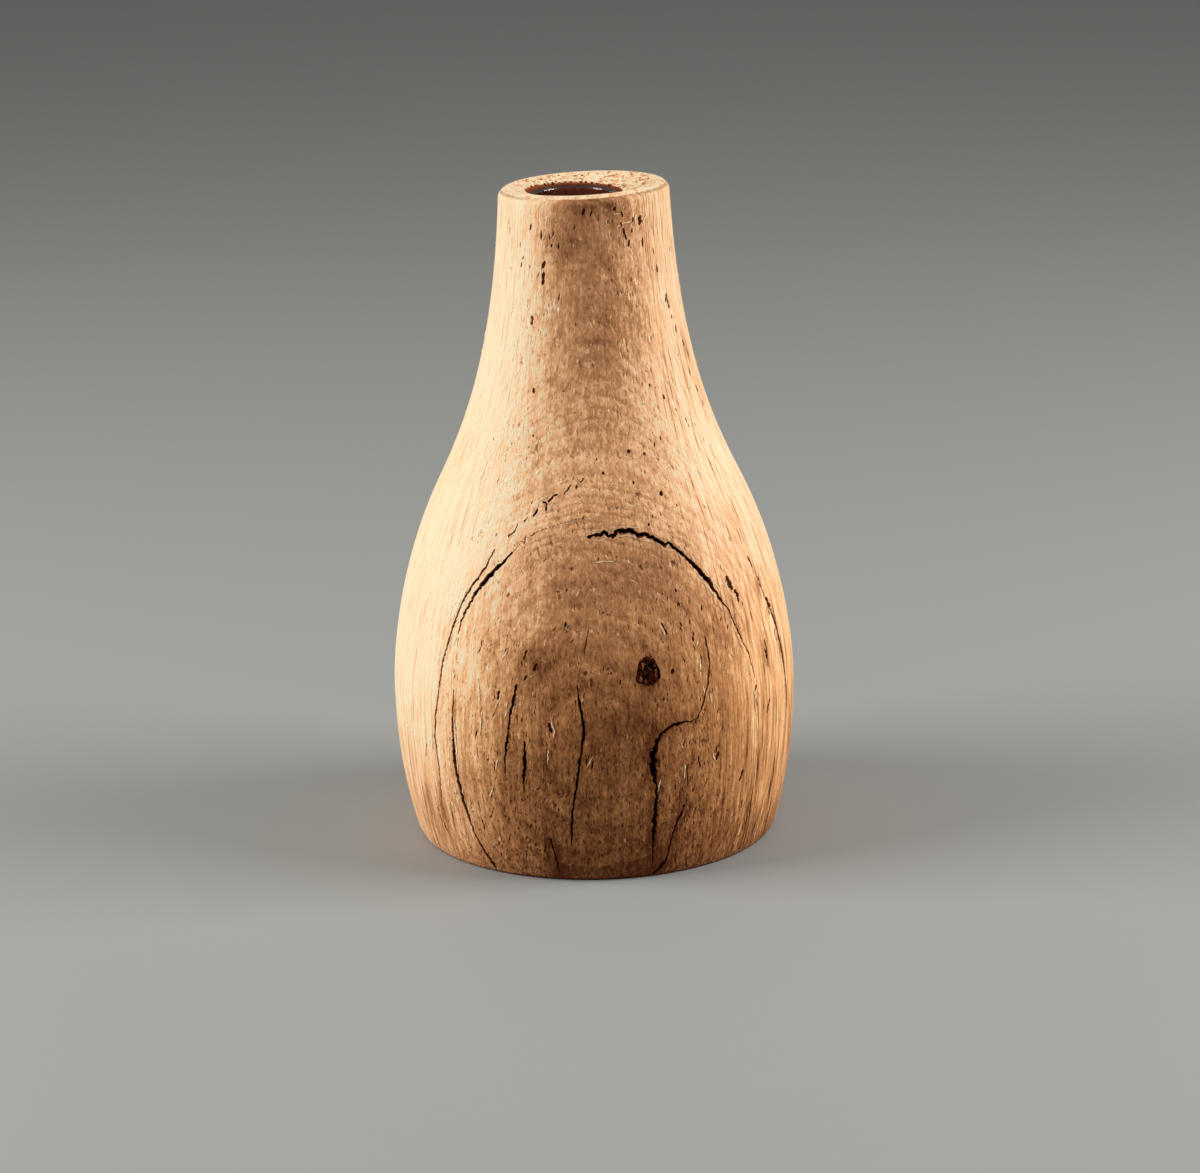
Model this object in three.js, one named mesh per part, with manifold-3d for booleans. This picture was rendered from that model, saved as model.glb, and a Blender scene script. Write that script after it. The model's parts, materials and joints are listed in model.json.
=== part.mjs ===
// A turned wooden bud vase with a loose glass tube that holds the water and the stem.
// Millimetres, +Z up. The origin is the centre of the foot, on the surface that the vase stands on.
// The front of the vase, with its knot and its drying checks, faces -Y.
import * as THREE from "three";
import { mergeVertices } from "three/addons/utils/BufferGeometryUtils.js";
import Module from "manifold-3d";

const wasm = await Module();
wasm.setup();

// Glass tube: a stock round-bottomed test tube
const tubeDiameter = 16;
const tubeLength = 100;
const tubeWall = 1.1;

// How the tube sits in the wood
const boreClearance = 0.75; // all round the tube
const seatGap = 0.3; // between the tube's round end and the floor of the bore
const tubeSetback = 2.1; // from the crest of the mouth down to the rim of the glass
const boreOffset = -1.8; // the hole was drilled a little to the left of the turning axis
const floorThickness = 18.6; // wood under the bore

// Turned outline of the vase, from the foot to the mouth
const footRadius = 33;
const footLean = 18; // degrees that the side leans out where it leaves the foot
const footPull = 10.8; // how far the side follows that lean
const footEdge = 0.8; // rounding of the edge that meets the table
const bellyRadius = 37;
const bellyHeight = 28.2;
const bellyPullDown = 7.6; // how far the belly stays upright below its widest point, and above it
const bellyPullUp = 6.8;
const shoulderRadius = 28.3; // where the full belly turns into the hollow neck
const shoulderHeight = 65.2;
const shoulderLean = 25.4; // degrees that the side leans in there
const shoulderPullDown = 16.5;
const shoulderPullUp = 9.2;
const neckLean = 2.6; // degrees that the neck still leans in at the mouth
const neckPull = 32.3;
const rimWall = 6.64; // wood round the bore at the mouth
const rimRound = 1.9; // rounding of the rim
const mouthSlope = 15; // degrees that the mouth dishes in towards the bore

// Underside
const footRing = 7; // width of the flat ring that the vase stands on
const undercut = 1.2; // depth of the hollow inside that ring

// Dead knot: a plug of old branch that never grew into the wood around it
const knotWidth = 4.5;
const knotTall = 5.2;
const knotLength = 8;
const knotTaper = 0.7; // width of its inner end over its outer end
const knotSunk = 0.4; // below the surface round it
const knotGap = 0.3;
const knotAngle = 15.4; // degrees round to the right from the front
const knotHeight = 39.4;

// Drying checks: cracks that opened along the growth rings and up the grain.
// Each route is [degrees round to the right from the front, height] at a few places along the crack.
const checks = [
  {
    route: [[-1, 62.7], [10, 63.4], [24, 60.8], [38, 53.8], [47, 43.6], [51, 36]],
    width: 1.2,
    depth: 5,
  },
  {
    route: [[-27, 59.8], [-37, 53.3], [-42.5, 45], [-43.4, 34], [-43.4, 22], [-40.5, 11], [-35, 2.6]],
    width: 0.9,
    depth: 5,
  },
  {
    route: [[33.6, 35.7], [27.4, 29.4], [18.5, 28.1], [16, 22.5], [17, 14], [16.6, 4]],
    width: 1.1,
    depth: 5,
  },
  {
    route: [[-4.6, 37.8], [-3, 29.5], [-5, 20.5], [-7.4, 8]],
    width: 0.7,
    depth: 4,
  },
];
const checkClosing = 0.3; // width of a check at its bottom over its width at the surface
const checkTip = 0.25; // width of a check at its ends over its width in the middle

// How finely the round surfaces are divided
const bodySegments = 72;
const tubeSegments = 40;
const knotSegments = 20;
const curveDivisions = 12;
const arcDivisions = 6;
const checkStations = 16;

const beyond = 2; // how far a cutting shape stands clear of the wood
const tubeRadius = tubeDiameter / 2;
const boreRadius = tubeRadius + boreClearance;
const rimRadius = boreRadius + rimWall;
const tubeSeat = floorThickness + seatGap;
const vaseHeight = tubeSeat + tubeLength + tubeSetback;

const oiledWood = new THREE.MeshStandardMaterial({ color: 0xc79a66, roughness: 0.55, metalness: 0 });
const clearGlass = new THREE.MeshStandardMaterial({
  color: 0xdfe6ea, roughness: 0.05, metalness: 0, transparent: true, opacity: 0.35,
});
const knotWood = new THREE.MeshStandardMaterial({ color: 0x4a2416, roughness: 0.8, metalness: 0 });

function radians(degrees) {
  return THREE.MathUtils.degToRad(degrees);
}

// A point [radius, height] moved by a length in the direction that leans out from upright by an angle.
function along(point, leanOut, length) {
  const lean = radians(leanOut);
  return [point[0] + length * Math.sin(lean), point[1] + length * Math.cos(lean)];
}

// A curve between two points that starts and ends along the given handles.
function sweepTo(path, startHandle, endHandle, end) {
  path.bezierCurveTo(...startHandle, ...endHandle, ...end);
}

// The side of the vase as a path of [radius, height], from the foot to where the rim starts to round.
function sidePath() {
  const foot = [footRadius, 0];
  const belly = [bellyRadius, bellyHeight];
  const shoulder = [shoulderRadius, shoulderHeight];
  const rim = [rimRadius, vaseHeight - rimRound];
  const path = new THREE.Path();
  path.moveTo(...foot);
  sweepTo(path, along(foot, footLean, footPull), along(belly, 0, -bellyPullDown), belly);
  sweepTo(path, along(belly, 0, bellyPullUp), along(shoulder, -shoulderLean, -shoulderPullDown), shoulder);
  sweepTo(path, along(shoulder, -shoulderLean, shoulderPullUp), along(rim, -neckLean, -neckPull), rim);
  return path;
}

const side = sidePath().getPoints(curveDivisions);

// Radius of the side at a height, between the points of its path.
function sideRadius(height) {
  const above = Math.max(1, side.findIndex((point) => point.y > height));
  const low = side[above - 1];
  const high = side[above];
  return THREE.MathUtils.mapLinear(height, low.y, high.y, low.x, high.x);
}

// Points of an arc in the profile plane, with angles in degrees counted from straight out.
function arcPoints(centre, radius, from, to) {
  const arc = new THREE.EllipseCurve(...centre, radius, radius, radians(from), radians(to), to < from);
  return arc.getPoints(arcDivisions);
}

// Turns a profile round the Z axis.
function lathe(points, segments) {
  return new THREE.LatheGeometry(points, segments).rotateX(Math.PI / 2);
}

// A closed geometry as a solid that can be joined and cut.
function solidOf(geometry) {
  const bare = geometry.clone().deleteAttribute("normal").deleteAttribute("uv");
  const merged = mergeVertices(bare);
  const corners = merged.index.array;
  const kept = [];
  for (let i = 0; i < corners.length; i += 3) {
    const [a, b, c] = corners.slice(i, i + 3);
    if (a !== b && b !== c && c !== a) kept.push(a, b, c);
  }
  const vertProperties = merged.attributes.position.array;
  const mesh = new wasm.Mesh({ numProp: 3, vertProperties, triVerts: new Uint32Array(kept) });
  return new wasm.Manifold(mesh);
}

function geometryOf(solid) {
  const { vertProperties, triVerts } = solid.getMesh();
  const geometry = new THREE.BufferGeometry();
  geometry.setAttribute("position", new THREE.BufferAttribute(vertProperties, 3));
  geometry.setIndex(new THREE.BufferAttribute(triVerts, 1));
  geometry.computeVertexNormals();
  return geometry;
}

function namedMesh(name, geometry, material) {
  const mesh = new THREE.Mesh(geometry, material);
  mesh.name = name;
  return mesh;
}

// The turned blank: underside, side, rounded rim and dished mouth, still without its bore.
function turnedBlank() {
  const crestRadius = rimRadius - rimRound;
  const rimCentre = [crestRadius, vaseHeight - rimRound];
  const rim = arcPoints(rimCentre, rimRound, 0, 90);
  const dish = arcPoints(rimCentre, rimRound, 90, 90 + mouthSlope);
  const dishEdge = dish.at(-1);
  const dishBottom = dishEdge.y - dishEdge.x * Math.tan(radians(mouthSlope));
  const profile = [
    new THREE.Vector2(0, undercut),
    new THREE.Vector2(footRadius - footEdge - footRing, 0),
    new THREE.Vector2(footRadius - footEdge, 0),
    new THREE.Vector2(footRadius + footEdge * Math.tan(radians(footLean)), footEdge),
    ...side.filter((point) => point.y > 2 * footEdge),
    ...rim.slice(1),
    dishEdge,
    new THREE.Vector2(0, dishBottom),
  ];
  return lathe(profile, bodySegments);
}

// The drilled hole, standing out of the mouth.
function boreCutter() {
  const top = vaseHeight + beyond;
  const profile = [
    new THREE.Vector2(0, floorThickness),
    new THREE.Vector2(boreRadius, floorThickness),
    new THREE.Vector2(boreRadius, top),
    new THREE.Vector2(0, top),
  ];
  return lathe(profile, tubeSegments).translate(boreOffset, 0, 0);
}

// A tapered plug whose outer end is at the origin and looks along +Z.
function plug(width, tall, length, outer) {
  const inner = (width / 2) * knotTaper;
  const profile = [
    new THREE.Vector2(0, -length),
    new THREE.Vector2(inner, -length),
    new THREE.Vector2(width / 2, 0),
    new THREE.Vector2(width / 2, outer),
    new THREE.Vector2(0, outer),
  ];
  return lathe(profile, knotSegments).scale(1, tall / width, 1);
}

// A frame on the side of the vase: its +Z looks straight out of the wood, level, and its +Y looks up.
function frameOnSide(angle, height, sunk) {
  const reach = sideRadius(height) - sunk;
  const turn = radians(angle);
  const frame = new THREE.Group();
  frame.position.set(reach * Math.sin(turn), -reach * Math.cos(turn), height);
  frame.rotation.set(Math.PI / 2, turn, 0, "XYZ");
  frame.updateMatrix();
  return frame;
}

function knotPocket(frame) {
  const wide = knotWidth + 2 * knotGap;
  const tall = knotTall + 2 * knotGap;
  return plug(wide, tall, knotLength + knotGap, knotSunk + beyond).applyMatrix4(frame.matrix);
}

// A point at an angle and height, pushed in from the side of the vase by a depth.
function onSide(angle, height, depth) {
  const reach = sideRadius(height) - depth;
  return new THREE.Vector3(reach * Math.sin(radians(angle)), -reach * Math.cos(radians(angle)), height);
}

// A blade that follows a check's route, wide at the surface, narrow at its bottom and at both ends.
function checkCutter({ route, width, depth }) {
  const path = new THREE.SplineCurve(route.map(([angle, height]) => new THREE.Vector2(angle, height)));
  const positions = [];
  for (let station = 0; station <= checkStations; station++) {
    const share = station / checkStations;
    const here = path.getPoint(share);
    const before = path.getPoint(Math.max(0, share - 1 / checkStations));
    const after = path.getPoint(Math.min(1, share + 1 / checkStations));
    const travel = onSide(after.x, after.y, 0).sub(onSide(before.x, before.y, 0));
    const outward = onSide(here.x, here.y, -1).sub(onSide(here.x, here.y, 0));
    const across = new THREE.Vector3().crossVectors(travel, outward).normalize();
    const swell = checkTip + (1 - checkTip) * Math.sin(Math.PI * share);
    const open = (width / 2) * swell;
    const shut = open * checkClosing;
    const top = onSide(here.x, here.y, -beyond / 2);
    const bottom = onSide(here.x, here.y, depth * swell);
    const corners = [
      top.clone().addScaledVector(across, open),
      top.clone().addScaledVector(across, -open),
      bottom.clone().addScaledVector(across, -shut),
      bottom.clone().addScaledVector(across, shut),
    ];
    corners.forEach((corner) => positions.push(...corner.toArray()));
  }
  return loft(positions, 4);
}

// Joins rings of a fixed number of corners into one closed skin with flat ends.
function loft(positions, ring) {
  const rings = positions.length / 3 / ring;
  const last = (rings - 1) * ring;
  const index = [];
  for (let row = 0; row < rings - 1; row++) {
    for (let k = 0; k < ring; k++) {
      const a = row * ring + k;
      const b = row * ring + ((k + 1) % ring);
      index.push(a, a + ring, b, b, a + ring, b + ring);
    }
  }
  for (let k = 1; k < ring - 1; k++) {
    index.push(0, k, k + 1);
    index.push(last, last + k + 1, last + k);
  }
  const geometry = new THREE.BufferGeometry();
  geometry.setAttribute("position", new THREE.Float32BufferAttribute(positions, 3));
  geometry.setIndex(index);
  return geometry;
}

function turnedBody(knotFrame) {
  const cutters = [boreCutter(), knotPocket(knotFrame), ...checks.map(checkCutter)];
  const blank = solidOf(turnedBlank());
  const body = cutters.reduce((wood, cutter) => wood.subtract(solidOf(cutter)), blank);
  return namedMesh("turned_body", geometryOf(body), oiledWood);
}

// The glass: round end, straight wall and a fire-polished rim.
function glassTube() {
  const innerRadius = tubeRadius - tubeWall;
  const rimHeight = tubeLength - tubeWall / 2;
  const profile = [
    ...arcPoints([0, tubeRadius], tubeRadius, -90, 0),
    ...arcPoints([tubeRadius - tubeWall / 2, rimHeight], tubeWall / 2, 0, 180),
    ...arcPoints([0, tubeRadius], innerRadius, 0, -90),
  ];
  const tube = namedMesh("glass_tube", lathe(profile, tubeSegments), clearGlass);
  tube.position.set(boreOffset, 0, tubeSeat);
  return tube;
}

function deadKnot(frame) {
  const knot = namedMesh("dead_knot", plug(knotWidth, knotTall, knotLength, 0), knotWood);
  frame.add(knot);
  return frame;
}

const knotFrame = frameOnSide(knotAngle, knotHeight, knotSunk);
const vase = new THREE.Group();
vase.add(turnedBody(knotFrame), glassTube(), deadKnot(knotFrame));

export default vase;
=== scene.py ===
import json
import math
import random

import bpy
from mathutils import Matrix, Vector

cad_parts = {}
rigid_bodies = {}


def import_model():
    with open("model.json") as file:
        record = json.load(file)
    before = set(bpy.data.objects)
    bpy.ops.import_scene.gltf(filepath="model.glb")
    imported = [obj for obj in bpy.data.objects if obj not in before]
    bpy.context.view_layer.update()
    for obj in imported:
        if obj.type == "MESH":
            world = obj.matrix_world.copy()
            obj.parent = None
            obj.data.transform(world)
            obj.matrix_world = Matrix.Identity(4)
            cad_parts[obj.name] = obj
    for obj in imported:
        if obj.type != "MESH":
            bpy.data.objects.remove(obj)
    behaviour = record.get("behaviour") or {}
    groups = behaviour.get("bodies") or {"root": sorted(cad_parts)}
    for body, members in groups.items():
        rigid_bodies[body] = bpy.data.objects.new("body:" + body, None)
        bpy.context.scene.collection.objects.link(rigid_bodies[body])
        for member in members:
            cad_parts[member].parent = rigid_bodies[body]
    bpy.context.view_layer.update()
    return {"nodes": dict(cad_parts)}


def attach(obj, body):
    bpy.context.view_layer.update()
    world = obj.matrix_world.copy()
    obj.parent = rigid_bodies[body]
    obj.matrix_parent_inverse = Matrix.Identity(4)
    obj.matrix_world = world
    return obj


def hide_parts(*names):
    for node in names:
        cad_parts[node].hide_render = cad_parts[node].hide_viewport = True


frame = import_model()
mm = 0.001
mergeGap = 0.002 * mm
print("frame loaded:", ", ".join(sorted(frame["nodes"])))


def deselectAll():
    if bpy.context.object and bpy.context.object.mode != "OBJECT":
        bpy.ops.object.mode_set(mode="OBJECT")
    bpy.ops.object.select_all(action="DESELECT")


def makeActive(piece):
    deselectAll()
    piece.select_set(True)
    bpy.context.view_layer.objects.active = piece


def pickAll():
    bpy.ops.mesh.select_all(action="SELECT")


def enterEdit():
    bpy.ops.object.mode_set(mode="EDIT")


def leaveEdit():
    bpy.ops.object.mode_set(mode="OBJECT")


def faceOutwards():  # the last step in edit mode
    pickAll()
    bpy.ops.mesh.normals_make_consistent(inside=False)
    leaveEdit()


def settle(piece):  # its place goes into its mesh
    makeActive(piece)
    bpy.ops.object.transform_apply(location=True, rotation=True, scale=True)


def startLine(name, first):  # one point in edit mode, ready to be drawn out
    deselectAll()
    bpy.ops.mesh.primitive_plane_add(size=mm)
    piece = bpy.context.object
    piece.name = piece.data.name = name
    enterEdit()
    pickAll()
    bpy.ops.mesh.merge(type="CENTER")
    bpy.ops.transform.translate(value=first)
    return piece


def drawLine(points):
    for a, b in zip(points, points[1:]):
        bpy.ops.mesh.extrude_region_move(TRANSFORM_OT_translate={"value": b - a})


def spinProfile(name, profile, steps, axisX=0.0):  # profile in millimetres, turned round an upright axis
    points = [Vector((r + axisX, 0, z)) * mm for r, z in profile]
    piece = startLine(name, points[0])
    drawLine(points)
    pickAll()
    bpy.ops.mesh.spin(steps=steps, angle=math.tau, center=(axisX * mm, 0, 0), axis=(0, 0, 1))
    pickAll()
    bpy.ops.mesh.remove_doubles(threshold=mergeGap)
    faceOutwards()
    return piece


def applyModifier(piece, modifier):
    makeActive(piece)
    bpy.ops.object.modifier_apply(modifier=modifier.name)


def joinAll(pieces):
    makeActive(pieces[0])
    for piece in pieces:
        piece.select_set(True)
    bpy.ops.object.join()
    settle(pieces[0])
    return pieces[0]


def mergeCrossing(piece):  # cutters that cross each other become one clean shape
    makeActive(piece)
    enterEdit()
    pickAll()
    bpy.ops.mesh.intersect_boolean(operation="UNION", use_self=True, solver="EXACT")
    leaveEdit()
    return piece


cutCare = {"tries": 4, "nudge": 0.003, "leastLeft": 0.5}  # nudge in millimetres, and the least share of faces left


def cutAway(piece, cutter, operation="DIFFERENCE"):
    before = piece.data.copy()
    for _ in range(cutCare["tries"]):  # a cut that loses the piece is put back and made again a hair higher
        cut = piece.modifiers.new("cut", "BOOLEAN")
        cut.operation = operation
        cut.solver = "MANIFOLD"
        cut.object = cutter
        applyModifier(piece, cut)
        if len(piece.data.polygons) > cutCare["leastLeft"] * len(before.polygons):
            break
        print("cut made again:", len(piece.data.polygons), "faces left of", len(before.polygons))
        piece.data = before.copy()
        cutter.location.z += cutCare["nudge"] * mm
    bpy.data.meshes.remove(before)
    bpy.data.objects.remove(cutter)


def dropSplinters(piece):  # bits that the cuts left loose
    makeActive(piece)
    enterEdit()
    bpy.ops.mesh.select_mode(type="VERT")
    bpy.ops.mesh.select_all(action="DESELECT")
    leaveEdit()
    min(piece.data.vertices, key=lambda vertex: vertex.co.z).select = True
    enterEdit()
    bpy.ops.mesh.select_linked()
    bpy.ops.mesh.select_all(action="INVERT")
    bpy.ops.mesh.delete(type="VERT")
    leaveEdit()


def makeGrain(look):  # a small ball, to be stretched into a pit or a tear
    deselectAll()
    bpy.ops.mesh.primitive_uv_sphere_add(segments=look["sides"], ring_count=look["rings"], radius=0.5 * mm)
    return bpy.context.object


def copyGrain(grain, spot, turn, size):
    bit = grain.copy()
    bit.data = grain.data.copy()
    bpy.context.collection.objects.link(bit)
    bit.matrix_world = Matrix.Translation(spot) @ turn @ Matrix.Diagonal((*size, 1))
    return bit


def finishPiece(piece, material, body, node, smoothAngle):
    makeActive(piece)
    bpy.ops.object.shade_smooth_by_angle(angle=math.radians(smoothAngle))
    piece.data.materials.clear()
    piece.data.materials.append(material)
    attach(piece, body)
    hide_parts(node)
    print(piece.name, "finished:", len(piece.data.polygons), "faces")


def wire(tree, kind, settings=None, values=()):  # a node with its settings, and its inputs set or linked
    step = tree.nodes.new(kind)
    for key, value in (settings or {}).items():
        setattr(step, key, value)
    for key, value in (values.items() if isinstance(values, dict) else enumerate(values)):
        if isinstance(value, bpy.types.NodeSocket):
            tree.links.new(value, step.inputs[key])
        elif value is not None:
            step.inputs[key].default_value = value
    return step


def calc(tree, operation, *values):
    return wire(tree, "ShaderNodeMath", {"operation": operation}, values).outputs[0]


def vector(tree, operation, *values):
    step = wire(tree, "ShaderNodeVectorMath", {"operation": operation}, values)
    return step.outputs["Value" if operation == "LENGTH" else "Vector"]


def grainNoise(tree, place, scale, detail=2.0, roughness=0.5):
    values = {"Vector": place, "Scale": scale, "Detail": detail, "Roughness": roughness}
    return wire(tree, "ShaderNodeTexNoise", None, values)


def between(tree, value, low, high):  # 0 at low, 1 at high, eased
    settings = {"interpolation_type": "SMOOTHSTEP"}
    return wire(tree, "ShaderNodeMapRange", settings, [value, low, high, 0.0, 1.0]).outputs[0]


def ramp(tree, value, stops):
    step = wire(tree, "ShaderNodeValToRGB", None, [value])
    bar = step.color_ramp.elements
    while len(bar) < len(stops):
        bar.new(1.0)
    for element, (place, tone) in zip(bar, stops):
        element.position = place
        element.color = (tone, tone, tone, 1) if isinstance(tone, float) else (*tone, 1)
    return step.outputs["Color"]


def blendColour(tree, share, low, high, mode="MIX"):
    step = wire(tree, "ShaderNodeMix", {"data_type": "RGBA", "blend_type": mode})
    for socket, value in zip((step.inputs[0], step.inputs[6], step.inputs[7]), (share, low, high)):
        if isinstance(value, bpy.types.NodeSocket):
            tree.links.new(value, socket)
        else:
            socket.default_value = (*value, 1) if isinstance(value, tuple) else value
    return step.outputs[2]


def startMaterial(name):  # with its shader and the place on the piece in millimetres
    material = bpy.data.materials.new(name)
    material.use_nodes = True
    tree = material.node_tree
    spot = wire(tree, "ShaderNodeTexCoord").outputs["Object"]
    return material, tree, tree.nodes["Principled BSDF"], vector(tree, "MULTIPLY", spot, (1 / mm, 1 / mm, 1 / mm))


def addRelief(tree, shader, height, depth):
    bump = wire(tree, "ShaderNodeBump", None, {"Strength": 1.0, "Distance": depth, "Height": height})
    tree.links.new(bump.outputs[0], shader.inputs["Normal"])


def startGroup(name, inputs, outputs):
    group = bpy.data.node_groups.new(name, "ShaderNodeTree")
    for label, kind in inputs:
        group.interface.new_socket(label, in_out="INPUT", socket_type=kind)
    for label, kind in outputs:
        group.interface.new_socket(label, in_out="OUTPUT", socket_type=kind)
    return group, group.nodes.new("NodeGroupInput"), group.nodes.new("NodeGroupOutput")


# growth rings round a pith: the light and dark of each ring, and its line of open pores
ringLook = {
    "squat": (1, 1, 0.3), "driftSize": 0.07, "spacingSize": 0.22, "spacing": 2.4, "fraySize": 1.4, "fray": 0.35,
    "tone": [(0.0, 0.5), (0.1, 0.9), (0.25, 0.75), (0.6, 0.55), (0.86, 0.15), (1.0, 0.5)],
    "early": [(0.0, 0.6), (0.1, 1.0), (0.26, 0.0), (0.9, 0.0), (1.0, 0.6)],
}


def growthRings():
    look = ringLook
    group, given, result = startGroup(
        "growthRings",
        [("Place", "NodeSocketVector"), ("Pith", "NodeSocketVector"), ("Across", "NodeSocketVector"),
         ("Width", "NodeSocketFloat"), ("Wander", "NodeSocketFloat")],
        [("Tone", "NodeSocketFloat"), ("Early", "NodeSocketFloat")])
    place = given.outputs["Place"]
    squat = vector(group, "MULTIPLY", place, look["squat"])
    drift = vector(group, "SUBTRACT", grainNoise(group, squat, look["driftSize"]).outputs["Color"], (0.5, 0.5, 0.5))
    drift = wire(group, "ShaderNodeVectorMath", {"operation": "SCALE"},
                 {0: drift, "Scale": given.outputs["Wander"]}).outputs["Vector"]
    away = vector(group, "SUBTRACT", vector(group, "ADD", place, drift), given.outputs["Pith"])
    distance = vector(group, "LENGTH", vector(group, "MULTIPLY", away, given.outputs["Across"]))
    spacing = wire(group, "ShaderNodeTexNoise", {"noise_dimensions": "1D"},
                   {"W": distance, "Scale": look["spacingSize"], "Detail": 1.0}).outputs[0]
    fray = grainNoise(group, place, look["fraySize"]).outputs[0]
    turns = calc(group, "DIVIDE", distance, given.outputs["Width"])
    turns = calc(group, "MULTIPLY_ADD", fray, look["fray"], turns)
    share = calc(group, "FRACT", calc(group, "MULTIPLY_ADD", spacing, look["spacing"], turns))
    group.links.new(ramp(group, share, look["tone"]), result.inputs["Tone"])
    group.links.new(ramp(group, share, look["early"]), result.inputs["Early"])
    return group


# fibre, open pores and a pale lip beside each pore, all drawn out along the grain: the lip is partly frayed fibre and
# partly a painted highlight on the pore's lit edge
fibreLook = {
    "detail": 4.0, "roughness": 0.65, "poreSize": 0.7, "poreEdge": (1.0, 1.1),
    "poresAt": (31.0, 17.0, 5.0), "lipsAt": (31.5, 17.5, 4.9),
}


def woodFibre():
    look = fibreLook
    group, given, result = startGroup(
        "woodFibre",
        [("Place", "NodeSocketVector"), ("Fineness", "NodeSocketFloat"), ("Draw", "NodeSocketFloat"),
         ("Scarce", "NodeSocketFloat")],
        [("Fibre", "NodeSocketFloat"), ("Pores", "NodeSocketFloat"), ("Lips", "NodeSocketFloat")])
    fine = given.outputs["Fineness"]
    scale = wire(group, "ShaderNodeCombineXYZ", None,
                 [fine, fine, calc(group, "MULTIPLY", fine, given.outputs["Draw"])]).outputs[0]
    place = vector(group, "MULTIPLY", given.outputs["Place"], scale)
    fibre = grainNoise(group, place, 1.0, look["detail"], look["roughness"]).outputs[0]
    scarce = calc(group, "SUBTRACT", 1.0, given.outputs["Scarce"])

    def holes(shift):
        spots = grainNoise(group, vector(group, "ADD", place, shift), look["poreSize"], 1.0).outputs[0]
        return between(group, calc(group, "ADD", spots, scarce), *look["poreEdge"])

    pores = holes(look["poresAt"])
    # the lip is the pore moved a little aside: pale frayed fibre and a painted highlight on the pore's lit edge
    lips = calc(group, "MULTIPLY", holes(look["lipsAt"]), calc(group, "SUBTRACT", 1.0, pores))
    group.links.new(fibre, result.inputs["Fibre"])
    group.links.new(pores, result.inputs["Pores"])
    group.links.new(lips, result.inputs["Lips"])
    return group


ringGroup = growthRings()
fibreGroup = woodFibre()
print("wood node groups ready")

# sizes of the turned vase in millimetres, the same as the solid's
vaseShape = {
    "shy": 0.99999,  # keeps rounding inside the solid
    "height": 121.0, "floor": 18.6, "boreRadius": 8.75, "boreOffset": -1.8,
    "foot": (33.0, 0.0), "footLean": 18.0, "footPull": 10.8, "footEdge": 0.8,
    "belly": (37.0, 28.2), "bellyPulls": (7.6, 6.8),
    "shoulder": (28.3, 65.2), "shoulderLean": 25.4, "shoulderPulls": (16.5, 9.2),
    "rimRadius": 15.39, "rimRound": 1.9, "neckLean": 2.6, "neckPull": 32.3, "mouthSlope": 15.0,
    "footRing": 7.0, "undercut": 1.2, "rimLean": 1.0, "leanFrom": 96.0, "edgeArc": (-90, -10), "smooth": 38,
    "curvePoints": 34, "underPoints": 8, "ringPoints": 4, "edgePoints": 5, "rimPoints": 16, "dishPoints": 10,
    "spinSteps": 256, "boreSides": 128, "boreOver": 4.0,
    "boreRows": (60.0, 100.0, 112.0, 115.0, 116.5, 117.5, 118.2, 118.7, 119.1, 119.5),
}


def curve(a, b, c, d, count):
    points = []
    for i in range(1, count + 1):
        t = i / count
        s = 1 - t
        parts = (s**3, 3 * s * s * t, 3 * s * t * t, t**3)
        points.append(tuple(sum(w * p[k] for w, p in zip(parts, (a, b, c, d))) for k in (0, 1)))
    return points


def along(point, lean, length):
    angle = math.radians(lean)
    return point[0] + length * math.sin(angle), point[1] + length * math.cos(angle)


def arc(centre, radius, start, end, count):
    angles = [math.radians(start + (end - start) * i / count) for i in range(count + 1)]
    return [(centre[0] + radius * math.cos(a), centre[1] + radius * math.sin(a)) for a in angles]


def sideOutline():
    s = vaseShape
    n = s["curvePoints"]
    lean = s["shoulderLean"]
    rim = (s["rimRadius"], s["height"] - s["rimRound"])
    low = curve(s["foot"], along(s["foot"], s["footLean"], s["footPull"]),
                along(s["belly"], 0, -s["bellyPulls"][0]), s["belly"], n)
    middle = curve(s["belly"], along(s["belly"], 0, s["bellyPulls"][1]),
                   along(s["shoulder"], -lean, -s["shoulderPulls"][0]), s["shoulder"], n)
    high = curve(s["shoulder"], along(s["shoulder"], -lean, s["shoulderPulls"][1]),
                 along(rim, -s["neckLean"], -s["neckPull"]), rim, n)
    return [s["foot"]] + low + middle + high


side = sideOutline()


def sideRadius(z):
    for low, high in zip(side, side[1:]):
        if low[1] <= z <= high[1]:
            return low[0] + (high[0] - low[0]) * (z - low[1]) / (high[1] - low[1])
    return side[0][0] if z < side[0][1] else side[-1][0]


def onSide(angle, z, proud=0.0):  # angle in degrees to the right from the front
    r = sideRadius(z) + proud
    a = math.radians(angle)
    return Vector((r * math.sin(a), -r * math.cos(a), z)) * mm


def mouthHeight(r):
    s = vaseShape
    slope = math.radians(s["mouthSlope"])
    edge = s["rimRadius"] - s["rimRound"] * (1 + math.sin(slope))
    top = s["height"] - s["rimRound"] * (1 - math.cos(slope))
    return top - (edge - r) * math.tan(slope)


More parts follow.
